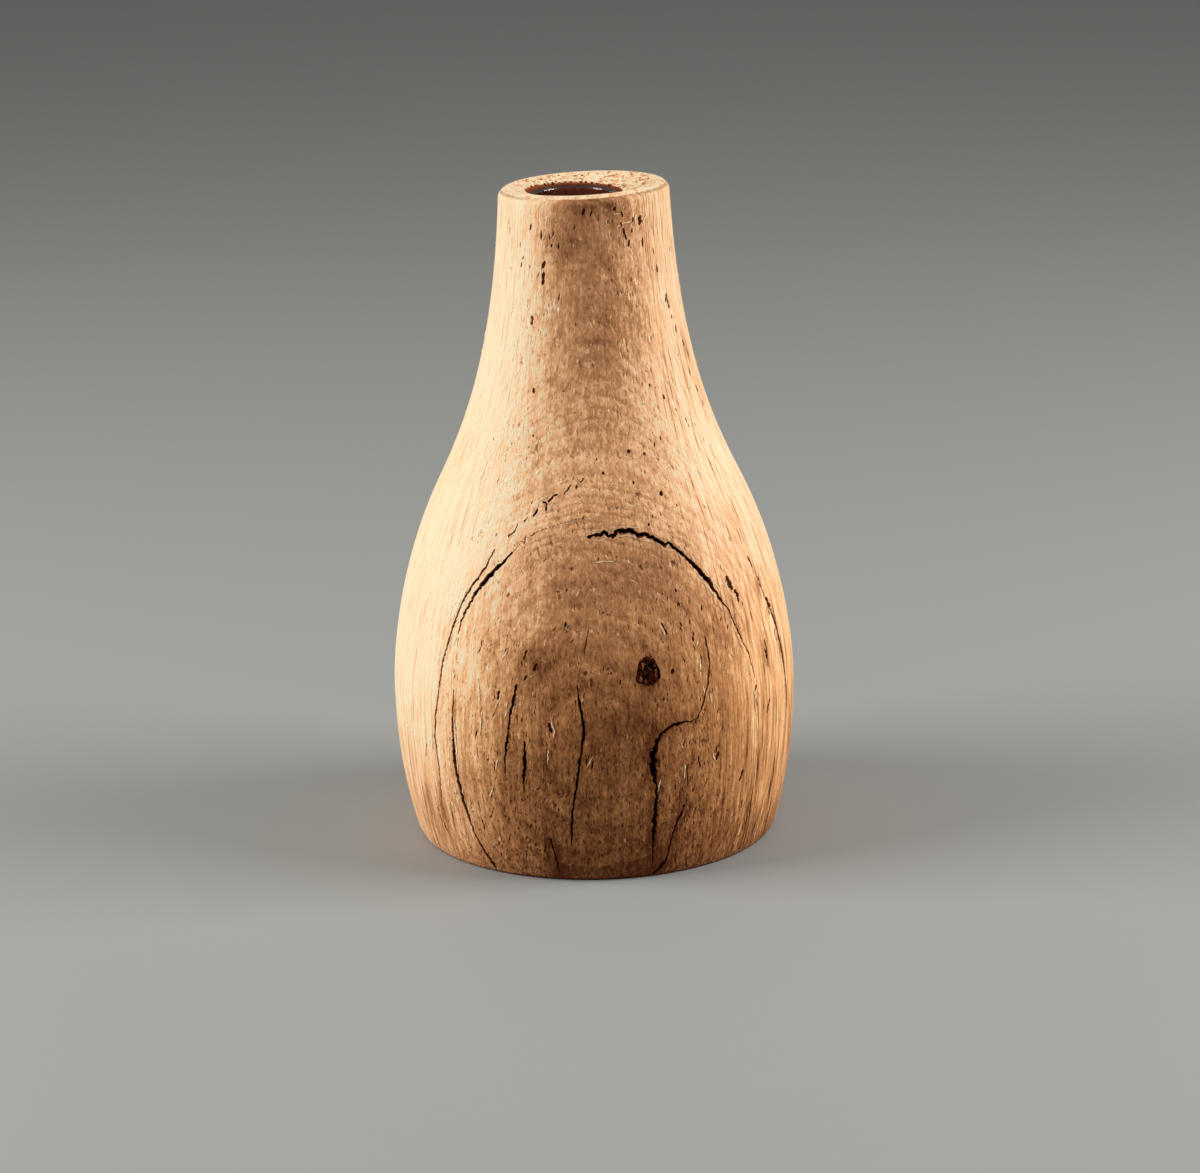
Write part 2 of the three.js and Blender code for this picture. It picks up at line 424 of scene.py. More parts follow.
def turnBody():
    s = vaseShape
    edge = s["footEdge"]
    foot = s["foot"][0]
    crest = (s["rimRadius"] - s["rimRound"], s["height"] - s["rimRound"])
    ringInside = foot - edge - s["footRing"]

    def shares(count):
        return [i / s[count] for i in range(s[count] + 1)]

    under = [(ringInside * t, s["undercut"] * (1 - t**2)) for t in shares("underPoints")]
    ring = [(ringInside + s["footRing"] * t, 0.0) for t in shares("ringPoints")[1:]]
    turn = arc((foot - edge, edge), edge, *s["edgeArc"], s["edgePoints"])[1:]
    wall = [p for p in side if p[1] > 2 * edge]
    rim = arc(crest, s["rimRound"], 0, 90 + s["mouthSlope"], s["rimPoints"])[1:]
    dish = [(rim[-1][0] * (1 - t), mouthHeight(rim[-1][0] * (1 - t))) for t in shares("dishPoints")[1:]]
    profile = [(r * s["shy"], z) for r, z in under + ring + turn + wall + rim + dish]
    turned = spinProfile("turnedBody", profile, s["spinSteps"])
    rows = (s["floor"], *s["boreRows"], s["height"] + s["boreOver"])
    bore = [(0, rows[0])] + [(s["boreRadius"], z) for z in rows] + [(0, rows[-1])]
    cutAway(turned, spinProfile("bore", bore, s["boreSides"], s["boreOffset"]))
    return turned


def leanRim(turned):  # the top was cut a little out of level, lower on the left
    s = vaseShape
    for vertex in turned.data.vertices:
        x, _, z = vertex.co / mm
        rise = min(1, max(0, (z - s["leanFrom"]) / (s["height"] - s["leanFrom"])))
        vertex.co.z -= s["rimLean"] * rise * rise * (s["rimRadius"] - x) / (2 * s["rimRadius"]) * mm


# drying checks: each route is (degrees round from the front, height, width)
checkLook = {
    "seed": 3, "step": 0.45, "jag": 0.14, "proud": 0.5, "reach": 0.90, "widths": (1.0, 0.3), "open": 1.25,
    "limit": 60.0, "jagFrom": 0.4, "uneven": (0.65, 1.25),
    "routes": {
        "ringRight": [
            (-1.2, 62.7, 0.35), (1.0, 63.0, 0.65), (3.4, 62.9, 0.7), (4.9, 63.4, 0.8), (6.0, 62.7, 0.7),
            (8.2, 62.8, 0.65), (9.0, 63.5, 0.75), (11.7, 63.2, 0.85), (13.8, 63.6, 0.8), (15.6, 62.9, 0.8),
            (17.5, 62.4, 0.75), (19.5, 62.6, 0.7), (21.3, 61.9, 0.85), (23.1, 61.2, 0.8), (25.5, 60.5, 0.6),
            (26.7, 60.9, 0.45), (28.4, 59.9, 0.6), (30.3, 59.0, 0.8), (32.2, 58.0, 0.55), (34.0, 56.8, 0.8),
            (36.3, 55.3, 0.8), (38.1, 53.8, 0.9), (39.8, 52.3, 0.8), (41.2, 50.6, 0.5), (42.8, 49.0, 0.4),
            (44.9, 47.4, 0.3), (45.8, 45.4, 0.3), (47.0, 43.6, 0.35), (48.5, 41.2, 0.25), (50.4, 38.7, 0.3),
            (51.8, 34.3, 0.15)],
        "ringLeft": [
            (-26.8, 59.8, 0.25), (-28.9, 58.4, 0.5), (-31.8, 56.7, 0.75), (-34.7, 54.9, 0.85),
            (-36.6, 53.5, 0.8), (-38.4, 51.9, 0.65), (-39.7, 50.3, 0.6), (-41.1, 48.8, 0.55),
            (-42.5, 46.5, 0.4), (-42.9, 44.4, 0.2)],
        "ringLeftLow": [
            (-43.1, 34.6, 0.2), (-43.1, 32.1, 0.38), (-43.4, 25.8, 0.5), (-43.4, 23.1, 0.75), (-43.4, 21.0, 0.85),
            (-42.8, 18.1, 0.7), (-42.0, 15.5, 0.85), (-40.9, 12.4, 0.8), (-40.2, 10.4, 0.5), (-39.2, 7.8, 0.5),
            (-37.8, 5.6, 0.4), (-35.6, 3.0, 0.45), (-34.2, 2.0, 0.6), (-33.8, 0.4, 0.3)],
        "ringLeftOuter": [
            (-33.7, 59.9, 0.25), (-36.0, 56.6, 0.4), (-38.2, 54.6, 0.45), (-40.1, 53.2, 0.5), (-43.3, 49.7, 0.4),
            (-45.6, 44.9, 0.45), (-48.1, 39.1, 0.4), (-49.3, 32.8, 0.38), (-50.5, 28.8, 0.45),
            (-51.2, 25.2, 0.42), (-50.5, 18.8, 0.38), (-51.1, 12.7, 0.2)],
        "crookRight": [
            (34.2, 44.1, 0.25), (34.7, 41.9, 0.35), (34.7, 39.1, 0.3), (33.6, 35.7, 0.35), (31.0, 31.6, 0.3),
            (29.5, 29.9, 0.25), (27.4, 29.4, 0.3), (25.7, 29.7, 0.35), (23.1, 29.4, 0.6), (21.0, 29.1, 0.6),
            (18.5, 28.1, 0.5), (17.1, 26.7, 0.7), (16.2, 24.6, 1.1), (16.0, 22.5, 1.2), (16.2, 20.7, 1.0),
            (17.1, 18.2, 0.4), (17.1, 15.5, 0.5), (16.8, 13.0, 0.75), (16.7, 10.5, 0.8), (16.7, 8.3, 0.6),
            (16.5, 6.3, 0.3), (16.8, 3.1, 0.2)],
        "forkRight": [
            (26.0, 14.1, 0.2), (24.8, 12.3, 0.5), (23.3, 9.9, 0.4), (22.3, 7.5, 0.25), (21.4, 3.8, 0.35),
            (20.1, 2.2, 0.7), (17.4, 0.4, 0.3)],
        "centre": [
            (-4.6, 37.8, 0.15), (-4.1, 34.6, 0.4), (-3.5, 32.4, 0.5), (-3.0, 29.8, 0.5), (-3.3, 27.5, 0.5),
            (-4.0, 24.9, 0.35), (-4.7, 22.2, 0.4), (-5.6, 18.5, 0.4), (-6.6, 14.7, 0.35), (-7.2, 11.3, 0.4),
            (-7.5, 7.6, 0.2)],
        "centreTop": [(-1.2, 47.5, 0.12), (-2.0, 45.0, 0.22), (-2.6, 43.0, 0.12)],
        "leftStreak": [
            (-21.9, 37.3, 0.4), (-22.8, 34.5, 0.65), (-23.9, 31.9, 0.5), (-24.3, 29.3, 0.35), (-25.1, 25.9, 0.55),
            (-25.8, 23.4, 0.35), (-26.0, 20.4, 0.15)],
        "leftSlit": [
            (-19.6, 27.2, 0.25), (-19.7, 24.6, 0.6), (-19.9, 22.6, 0.7), (-20.4, 20.6, 0.5), (-20.6, 17.6, 0.2)],
        "footSlit": [(-13.6, 8.6, 0.4), (-12.9, 6.0, 0.25), (-12.2, 3.6, 0.3), (-11.8, 1.6, 0.15)],
        "edgeRight": [
            (62.6, 49.6, 0.25), (66.0, 44.6, 0.5), (68.4, 40.6, 0.6), (69.8, 36.2, 0.7), (70.4, 32.4, 0.6),
            (71.4, 28.4, 0.4), (72.2, 25.0, 0.2)],
        "arcSlit1": [(-29.5, 62.2, 0.3), (-28.1, 62.7, 0.3), (-27.2, 63.3, 0.25), (-26.6, 64.5, 0.15)],
        "arcSlit2": [(-24.3, 64.8, 0.4), (-23.6, 65.3, 0.35), (-23.1, 65.6, 0.2)],
        "arcSlit3": [(-21.2, 65.7, 0.4), (-20.4, 66.4, 0.45), (-19.7, 67.1, 0.2)],
        "arcSlit4": [(-18.4, 68.2, 0.35), (-16.5, 68.1, 0.5), (-16.6, 66.9, 0.3)],
        "arcSlit5": [(-15.9, 68.3, 0.4), (-14.3, 69.2, 0.35), (-12.6, 69.6, 0.3)],
        "arcSlit6": [(-10.1, 69.6, 0.3), (-8.7, 70.3, 0.4), (-7.4, 71.1, 0.25)],
        "arcSlit7": [(-3.5, 71.6, 0.35), (-2.1, 72.2, 0.4)],
        "edgeSlit": [(59.2, 40.2, 0.15), (59.4, 38.4, 0.5), (59.3, 36.6, 0.3), (59.0, 35.0, 0.12)],
    },
}


def alongRoute(route, step):
    spots = []
    for a, b in zip(route, route[1:]):
        gap = (onSide(b[0], b[1]) - onSide(a[0], a[1])).length / mm
        count = max(1, round(gap / step))
        spots += [tuple(a[k] + (b[k] - a[k]) * i / count for k in range(3)) for i in range(count)]
    return spots + [route[-1]]


def makeBlade(name, route, look, dice):  # an upright strip along a route, from just outside the wood into it
    spots = alongRoute(route, look["step"])
    widest = max(width for _, _, width in spots)
    limit = look["limit"] * mm
    points = []
    for angle, z, width in spots:
        jag = look["jag"] * (look["jagFrom"] + width)
        point = onSide(angle, z, look["proud"]) + Vector([dice.uniform(-jag, jag) * mm for _ in range(3)])
        points.append(Vector((max(-limit, min(limit, point.x)), max(-limit, min(limit, point.y)), point.z)))
    blade = startLine(name, points[0])
    drawLine(points)
    pickAll()
    bpy.ops.mesh.extrude_region_move()
    bpy.ops.transform.resize(value=(look["reach"], look["reach"], 1), center_override=(0, 0, 0))
    leaveEdit()
    openness = blade.vertex_groups.new(name="openness")
    for vertex in blade.data.vertices:  # the line on the surface comes first, then the one inside
        row, spot = divmod(vertex.index, len(spots))
        width = spots[spot][2] * dice.uniform(*look["uneven"]) / widest
        openness.add([vertex.index], min(1, width) * look["widths"][row], "REPLACE")
    wall = blade.modifiers.new("wall", "SOLIDIFY")
    wall.thickness = widest * look["open"] * mm
    wall.offset = 0
    wall.vertex_group = "openness"
    applyModifier(blade, wall)
    return blade


def openChecks(turned):
    dice = random.Random(checkLook["seed"])
    blades = [makeBlade(name, route, checkLook, dice) for name, route in checkLook["routes"].items()]
    cutAway(turned, mergeCrossing(joinAll(blades)))
    print("checks opened:", len(blades), "leaving", len(turned.data.polygons), "faces")


# open pits where pores were torn: (degrees round, height, tall, wide, lean in degrees)
pitLook = {
    "seed": 5, "sides": 7, "rings": 5, "rough": 0.12, "grains": (1, 2, 3, 4, 6),
    "deep": (0.5, 0.8), "room": 0.7,  # depth as a fixed part and a share of the width; room to the next, by size
    "bit": 1.0, "stray": 0.15, "tallBy": (1.0, 1.5), "wideBy": (0.9, 1.3), "leanBy": (-15, 15),
    "traced": [
        (47.0, 52.2, 2, 1.1, -16), (49.3, 49.9, 1.5, 0.8, -18), (51.2, 47.8, 0.8, 0.4, -12), (39.3, 115.9, 1.5, 0.8, 4),
        (20.4, 118.4, 0.7, 0.46, 5), (-0.3, 118.3, 0.9, 0.56, 14), (4.6, 117.9, 1, 0.31, 5),
        (25.6, 117.3, 1, 0.39, -3), (18.6, 116.2, 0.5, 0.22, -1), (33.5, 116.1, 0.8, 0.42, 14),
        (38.4, 115.7, 1.5, 0.66, 5), (-59.2, 115.7, 0.7, 0.22, 0), (24.7, 115.5, 0.7, 0.45, 5),
        (-6.6, 115.5, 0.6, 0.26, 4), (-37.3, 115.4, 1, 0.48, 14), (-20.5, 114.5, 1, 0.32, -2),
        (-57.4, 114.2, 1.1, 0.28, 3), (32.3, 114.2, 0.8, 0.37, -4), (-29.0, 114.1, 1.3, 0.42, 4),
        (49.7, 114.1, 0.7, 0.22, 3), (-23.1, 113.8, 0.8, 0.26, 6), (26.6, 113.7, 2, 0.47, -8),
        (55.2, 113.0, 0.6, 0.22, 6), (-21.6, 112.2, 0.7, 0.43, 8), (-16.9, 112.1, 0.8, 0.43, 1),
        (29.5, 112.0, 1, 0.5, 14), (-45.8, 111.9, 0.8, 0.22, 4), (40.3, 111.8, 1.4, 0.41, 12),
        (31.0, 111.2, 0.5, 0.22, 0), (49.3, 109.8, 1, 0.35, -5), (-42.9, 109.6, 0.7, 0.32, 14),
        (-26.9, 108.7, 1.2, 0.65, 14), (-44.1, 108.3, 0.8, 0.4, 3), (-37.2, 108.1, 0.6, 0.22, 7),
        (-53.9, 107.3, 0.5, 0.22, 0), (-30.5, 106.8, 0.8, 0.29, 14), (51.3, 106.6, 1.2, 0.49, -12),
        (-26.8, 106.2, 2.1, 0.61, 2), (29.4, 105.5, 0.7, 0.22, 7), (-16.2, 103.1, 1.1, 0.22, 5),
        (57.9, 100.5, 2.7, 0.56, -8), (-33.1, 98.6, 1.6, 0.64, -2), (-6.1, 98.3, 0.5, 0.31, 0),
        (60.0, 97.6, 0.9, 0.49, 14), (62.6, 95.3, 1.4, 0.5, 9), (29.2, 87.3, 0.7, 0.29, 12),
        (33.7, 86.9, 0.6, 0.49, -4), (-28.7, 86.6, 1.1, 0.58, 2), (36.8, 86.3, 0.5, 0.22, 4),
        (63.4, 84.6, 0.7, 0.22, 6), (41.1, 84.5, 1, 0.48, -14), (47.3, 81.9, 0.5, 0.29, -14),
        (52.4, 79.3, 2, 0.36, -8), (57.9, 78.6, 0.5, 0.26, 6), (34.0, 77.8, 0.7, 0.3, -14),
        (-48.0, 77.4, 0.5, 0.22, -14), (-36.6, 77.3, 0.6, 0.22, 4), (30.2, 76.9, 0.8, 0.37, 11),
        (17.5, 76.3, 0.6, 0.68, 8), (60.7, 75.7, 0.5, 0.22, 0), (24.5, 75.6, 0.6, 0.6, -6),
        (3.2, 75.3, 0.5, 0.27, -8), (5.7, 73.0, 0.5, 0.43, -14), (-2.8, 72.0, 0.5, 0.22, 14),
        (59.1, 71.6, 0.5, 0.27, 0), (17.6, 71.1, 0.5, 0.51, -9), (-5.2, 70.9, 0.6, 0.34, 8),
        (28.3, 68.8, 0.7, 0.77, 14), (-22.4, 68.0, 0.5, 0.22, 0), (33.7, 66.5, 0.5, 0.29, 0),
        (-2.4, 65.9, 0.8, 0.27, 14), (22.9, 65.4, 0.7, 0.27, -2), (46.0, 65.3, 0.8, 0.24, -14),
        (20.9, 64.1, 0.5, 0.53, 11), (-16.9, 63.8, 0.5, 0.25, 0), (-20.1, 63.0, 0.7, 0.29, 14),
        (-29.2, 62.4, 0.7, 0.22, 14), (-34.3, 62.2, 0.7, 0.25, 4), (-22.9, 61.9, 1.5, 0.26, 14),
        (2.3, 59.1, 0.5, 0.32, -4), (53.0, 59.0, 1.2, 0.23, -10), (45.2, 54.9, 1.3, 0.22, 13),
        (26.6, 52.7, 0.6, 0.32, -8), (45.7, 52.4, 0.7, 0.22, 18), (52.2, 51.9, 0.5, 0.22, 3),
        (19.9, 51.7, 0.5, 0.22, 12), (23.4, 51.6, 0.8, 0.22, 20), (47.9, 51.4, 1.6, 0.86, 7),
        (27.0, 50.4, 0.7, 0.31, -15), (13.2, 50.4, 0.7, 0.22, 17), (49.8, 49.2, 1.9, 0.55, -6),
        (34.5, 49.0, 1.2, 0.34, 15), (-8.0, 48.2, 0.9, 0.38, 24), (29.8, 47.1, 1, 0.25, 2),
        (21.2, 46.6, 2.3, 0.32, -21), (26.6, 46.5, 1.6, 0.28, -9), (40.9, 46.3, 0.6, 0.31, 25),
        (65.8, 45.9, 2.3, 0.71, -25), (37.5, 45.3, 1.4, 0.22, -5), (-6.0, 45.3, 0.8, 0.26, 25),
        (54.3, 45.2, 1.4, 0.27, -12), (43.1, 44.7, 0.8, 0.41, 19), (30.4, 44.5, 1.7, 0.43, 12),
        (62.8, 44.3, 2.3, 0.22, 25), (-34.1, 43.1, 2.4, 0.28, 6), (-25.8, 43.1, 0.7, 0.22, 20),
        (-19.6, 42.7, 1.8, 0.4, 25), (30.2, 42.4, 1.1, 0.22, -3), (41.2, 41.2, 0.9, 0.24, -6),
        (-20.6, 41.0, 0.9, 0.32, -25), (-16.4, 40.6, 1.5, 0.68, 25), (26.6, 40.6, 0.7, 0.22, -13),
        (32.3, 40.0, 1.6, 0.22, 0), (22.7, 39.0, 0.9, 0.64, 25), (-19.4, 38.6, 1.1, 0.51, 22),
        (31.5, 38.3, 0.5, 0.38, 23), (7.4, 38.0, 1, 0.33, 12), (58.9, 37.5, 2.1, 0.47, -8),
        (27.2, 37.4, 1.4, 0.22, 10), (-27.6, 35.0, 1.6, 0.52, 13), (-5.2, 34.6, 0.8, 0.22, -6),
        (34.9, 34.3, 0.7, 0.22, 25), (-16.5, 33.0, 1.9, 0.22, -1), (52.0, 32.4, 1.2, 0.5, 11),
        (-33.0, 31.9, 1.2, 0.22, 13), (-29.0, 31.3, 1.1, 0.22, 13), (53.1, 31.0, 1.3, 0.22, -17),
        (36.4, 30.4, 1, 0.22, 11), (-12.2, 29.9, 1.8, 0.66, -22), (52.0, 29.7, 1.2, 0.25, 0),
        (58.1, 27.9, 2.7, 0.63, 25), (-34.8, 27.3, 1.3, 0.39, 25), (25.2, 25.7, 1.3, 0.22, 9),
        (-13.6, 24.2, 1.5, 0.22, 7), (-2.1, 24.1, 2.1, 0.22, 8), (-34.6, 23.7, 1.9, 0.22, 3),
        (36.0, 23.4, 1.9, 0.25, 25), (-0.9, 23.0, 1.4, 0.35, 4), (36.2, 22.0, 1.3, 0.75, 19),
        (30.1, 21.7, 2.1, 0.34, -6), (-29.3, 21.7, 1.9, 0.32, 1), (-56.5, 21.2, 2.6, 0.33, 13),
        (26.3, 19.7, 3.5, 0.25, -5), (45.9, 16.7, 2.2, 0.54, 22), (-31.4, 12.5, 2.7, 0.23, 21),
        (47.2, 10.8, 1.6, 0.47, 9), (26.1, 10.7, 0.8, 0.22, -2), (-54.3, 9.9, 0.8, 0.28, -11),
        (-35.0, 9.7, 2.2, 0.33, -8), (-28.2, 9.6, 1, 0.22, 7), (-51.9, 8.9, 0.9, 0.22, -17),
        (-52.8, 7.3, 3.7, 0.35, -25), (-15.4, 6.4, 1.5, 0.34, 13), (49.9, 6.3, 2.1, 0.26, 14),
        (64.2, 4.7, 2.3, 0.42, 25), (56.2, 4.4, 1.9, 0.22, 11),
        (-42.6, 43.0, 1.6, 0.22, 3), (-42.8, 40.4, 1.2, 0.2, 0), (-43.0, 37.4, 1.8, 0.22, 0), (56.2, 100.8, 1, 0.5, 0),
        (68.5, 92.4, 1.1, 0.5, 0), (72.0, 90.4, 1.3, 0.6, 0), (67.9, 87.2, 0.9, 0.5, 0), (71.5, 84.0, 1.4, 0.6, 0),
        (73.9, 81.3, 1.1, 0.5, 0), (70.4, 109.2, 0.7, 0.5, 0), (60.6, 54.0, 2, 0.5, -8), (63.0, 50.0, 2.2, 0.5, -6),
        (65.0, 45.0, 2.6, 0.5, -5), (66.4, 39.6, 2.4, 0.5, -3)],
    "stitches": {"tall": 0.5, "tallBy": (0.6, 1.3), "wide": 0.16, "leanBy": (-12, 12), "apart": 0.72, "route": [
        (-27.0, 59.6, 0), (-23.9, 61.6, 0), (-18.8, 63.4, 0), (-12.9, 64.5, 0), (-7.9, 65.3, 0), (-1.4, 65.9, 0)]},
    "scattered": {"ring": (-0.5, 0.5), "tall": (0.6, 1.7), "wide": (0.25, 0.5), "lean": (-6, 6)},
    "pithBack": 40.0, "apart": 2.2, "unseen": 66.0,
    "rows": [  # (distance from the pith, how many, lowest, highest, side)
        (44.0, 16, 6.0, 112.0, 1), (44.0, 16, 6.0, 112.0, -1), (34.0, 16, 6.0, 112.0, 1), (34.0, 16, 6.0, 112.0, -1),
        (22.0, 12, 6.0, 100.0, 1), (22.0, 12, 6.0, 100.0, -1), (12.0, 8, 6.0, 70.0, 1), (12.0, 8, 6.0, 70.0, -1)],
}


def ringAngle(distance, z):  # where a growth ring comes out of the side at a height
    r = sideRadius(z)
    back = pitLook["pithBack"]
    cosine = (distance**2 - r * r - back * back) / (2 * r * back)
    return math.degrees(math.acos(cosine)) if -1 < cosine < 1 else None


def scatterPits():  # round the sides and back, along the rings
    look = pitLook
    dice = random.Random(look["seed"])
    places = []
    for distance, count, low, high, hand in look["rows"]:
        for _ in range(count):
            z = dice.uniform(low, high)
            ring, *size = [dice.uniform(*span) for span in look["scattered"].values()]
            angle = ringAngle(distance + ring, z)
            if angle and angle > look["unseen"]:
                spot = onSide(angle * hand, z)
                if all((spot - onSide(p[0], p[1])).length > look["apart"] * mm for p in places):
                    places.append((angle * hand, z, *size))
    return places


def stitchPits():
    stitches = pitLook["stitches"]
    dice = random.Random(pitLook["seed"])
    spots = alongRoute(stitches["route"], stitches["apart"])
    places = []
    for a, b in zip(spots, spots[1:]):
        sideways = math.radians(b[0] - a[0]) * sideRadius(a[1])
        lean = math.degrees(math.atan2(sideways, b[1] - a[1])) + dice.uniform(*stitches["leanBy"])
        places.append((a[0], a[1], stitches["tall"] * dice.uniform(*stitches["tallBy"]), stitches["wide"], lean))
    return places


def breakPits(places):  # a long pit is torn as a ragged row of short ones
    look = pitLook
    dice = random.Random(look["seed"])
    bits = []
    for angle, z, tall, wide, lean in places:
        count = max(1, round(tall / look["bit"]))
        for i in range(count):
            run = ((i + 0.5) / count - 0.5) * tall
            aside = run * math.sin(math.radians(lean)) + dice.uniform(-1, 1) * look["stray"] * (count > 1)
            bits.append((
                angle + math.degrees(aside / sideRadius(z)), z + run * math.cos(math.radians(lean)),
                tall / count * dice.uniform(*look["tallBy"]), wide * dice.uniform(*look["wideBy"]),
                lean + dice.uniform(*look["leanBy"])))
    return bits


def openPits(turned, places):
    look = pitLook
    grains = []
    for seed in look["grains"]:  # a few uneven grains, used in turn
        grains.append(makeGrain(look))
        enterEdit()
        bpy.ops.transform.vertex_random(offset=look["rough"] * mm, seed=seed)
        leaveEdit()
    batches = []  # pits that touch are cut in different batches
    for i, (angle, z, tall, wide, lean) in enumerate(breakPits(places)):
        spot = onSide(angle, z)
        deep = look["deep"][0] + look["deep"][1] * wide
        reach = max(tall, wide, deep) * look["room"] * mm
        batch = next((b for b in batches if all((spot - other).length > reach + far for _, other, far in b)), None)
        if batch is None:
            batch = []
            batches.append(batch)
        turn = Matrix.Rotation(math.radians(angle), 4, "Z") @ Matrix.Rotation(math.radians(lean), 4, "Y")
        batch.append((copyGrain(grains[i % len(grains)], spot, turn, (wide, deep, tall)), spot, reach))
    for grain in grains:
        bpy.data.objects.remove(grain)
    for batch in batches:
        cutAway(turned, joinAll([pit for pit, _, _ in batch]))
        print("pits opened:", len(batch), "leaving", len(turned.data.polygons), "faces")
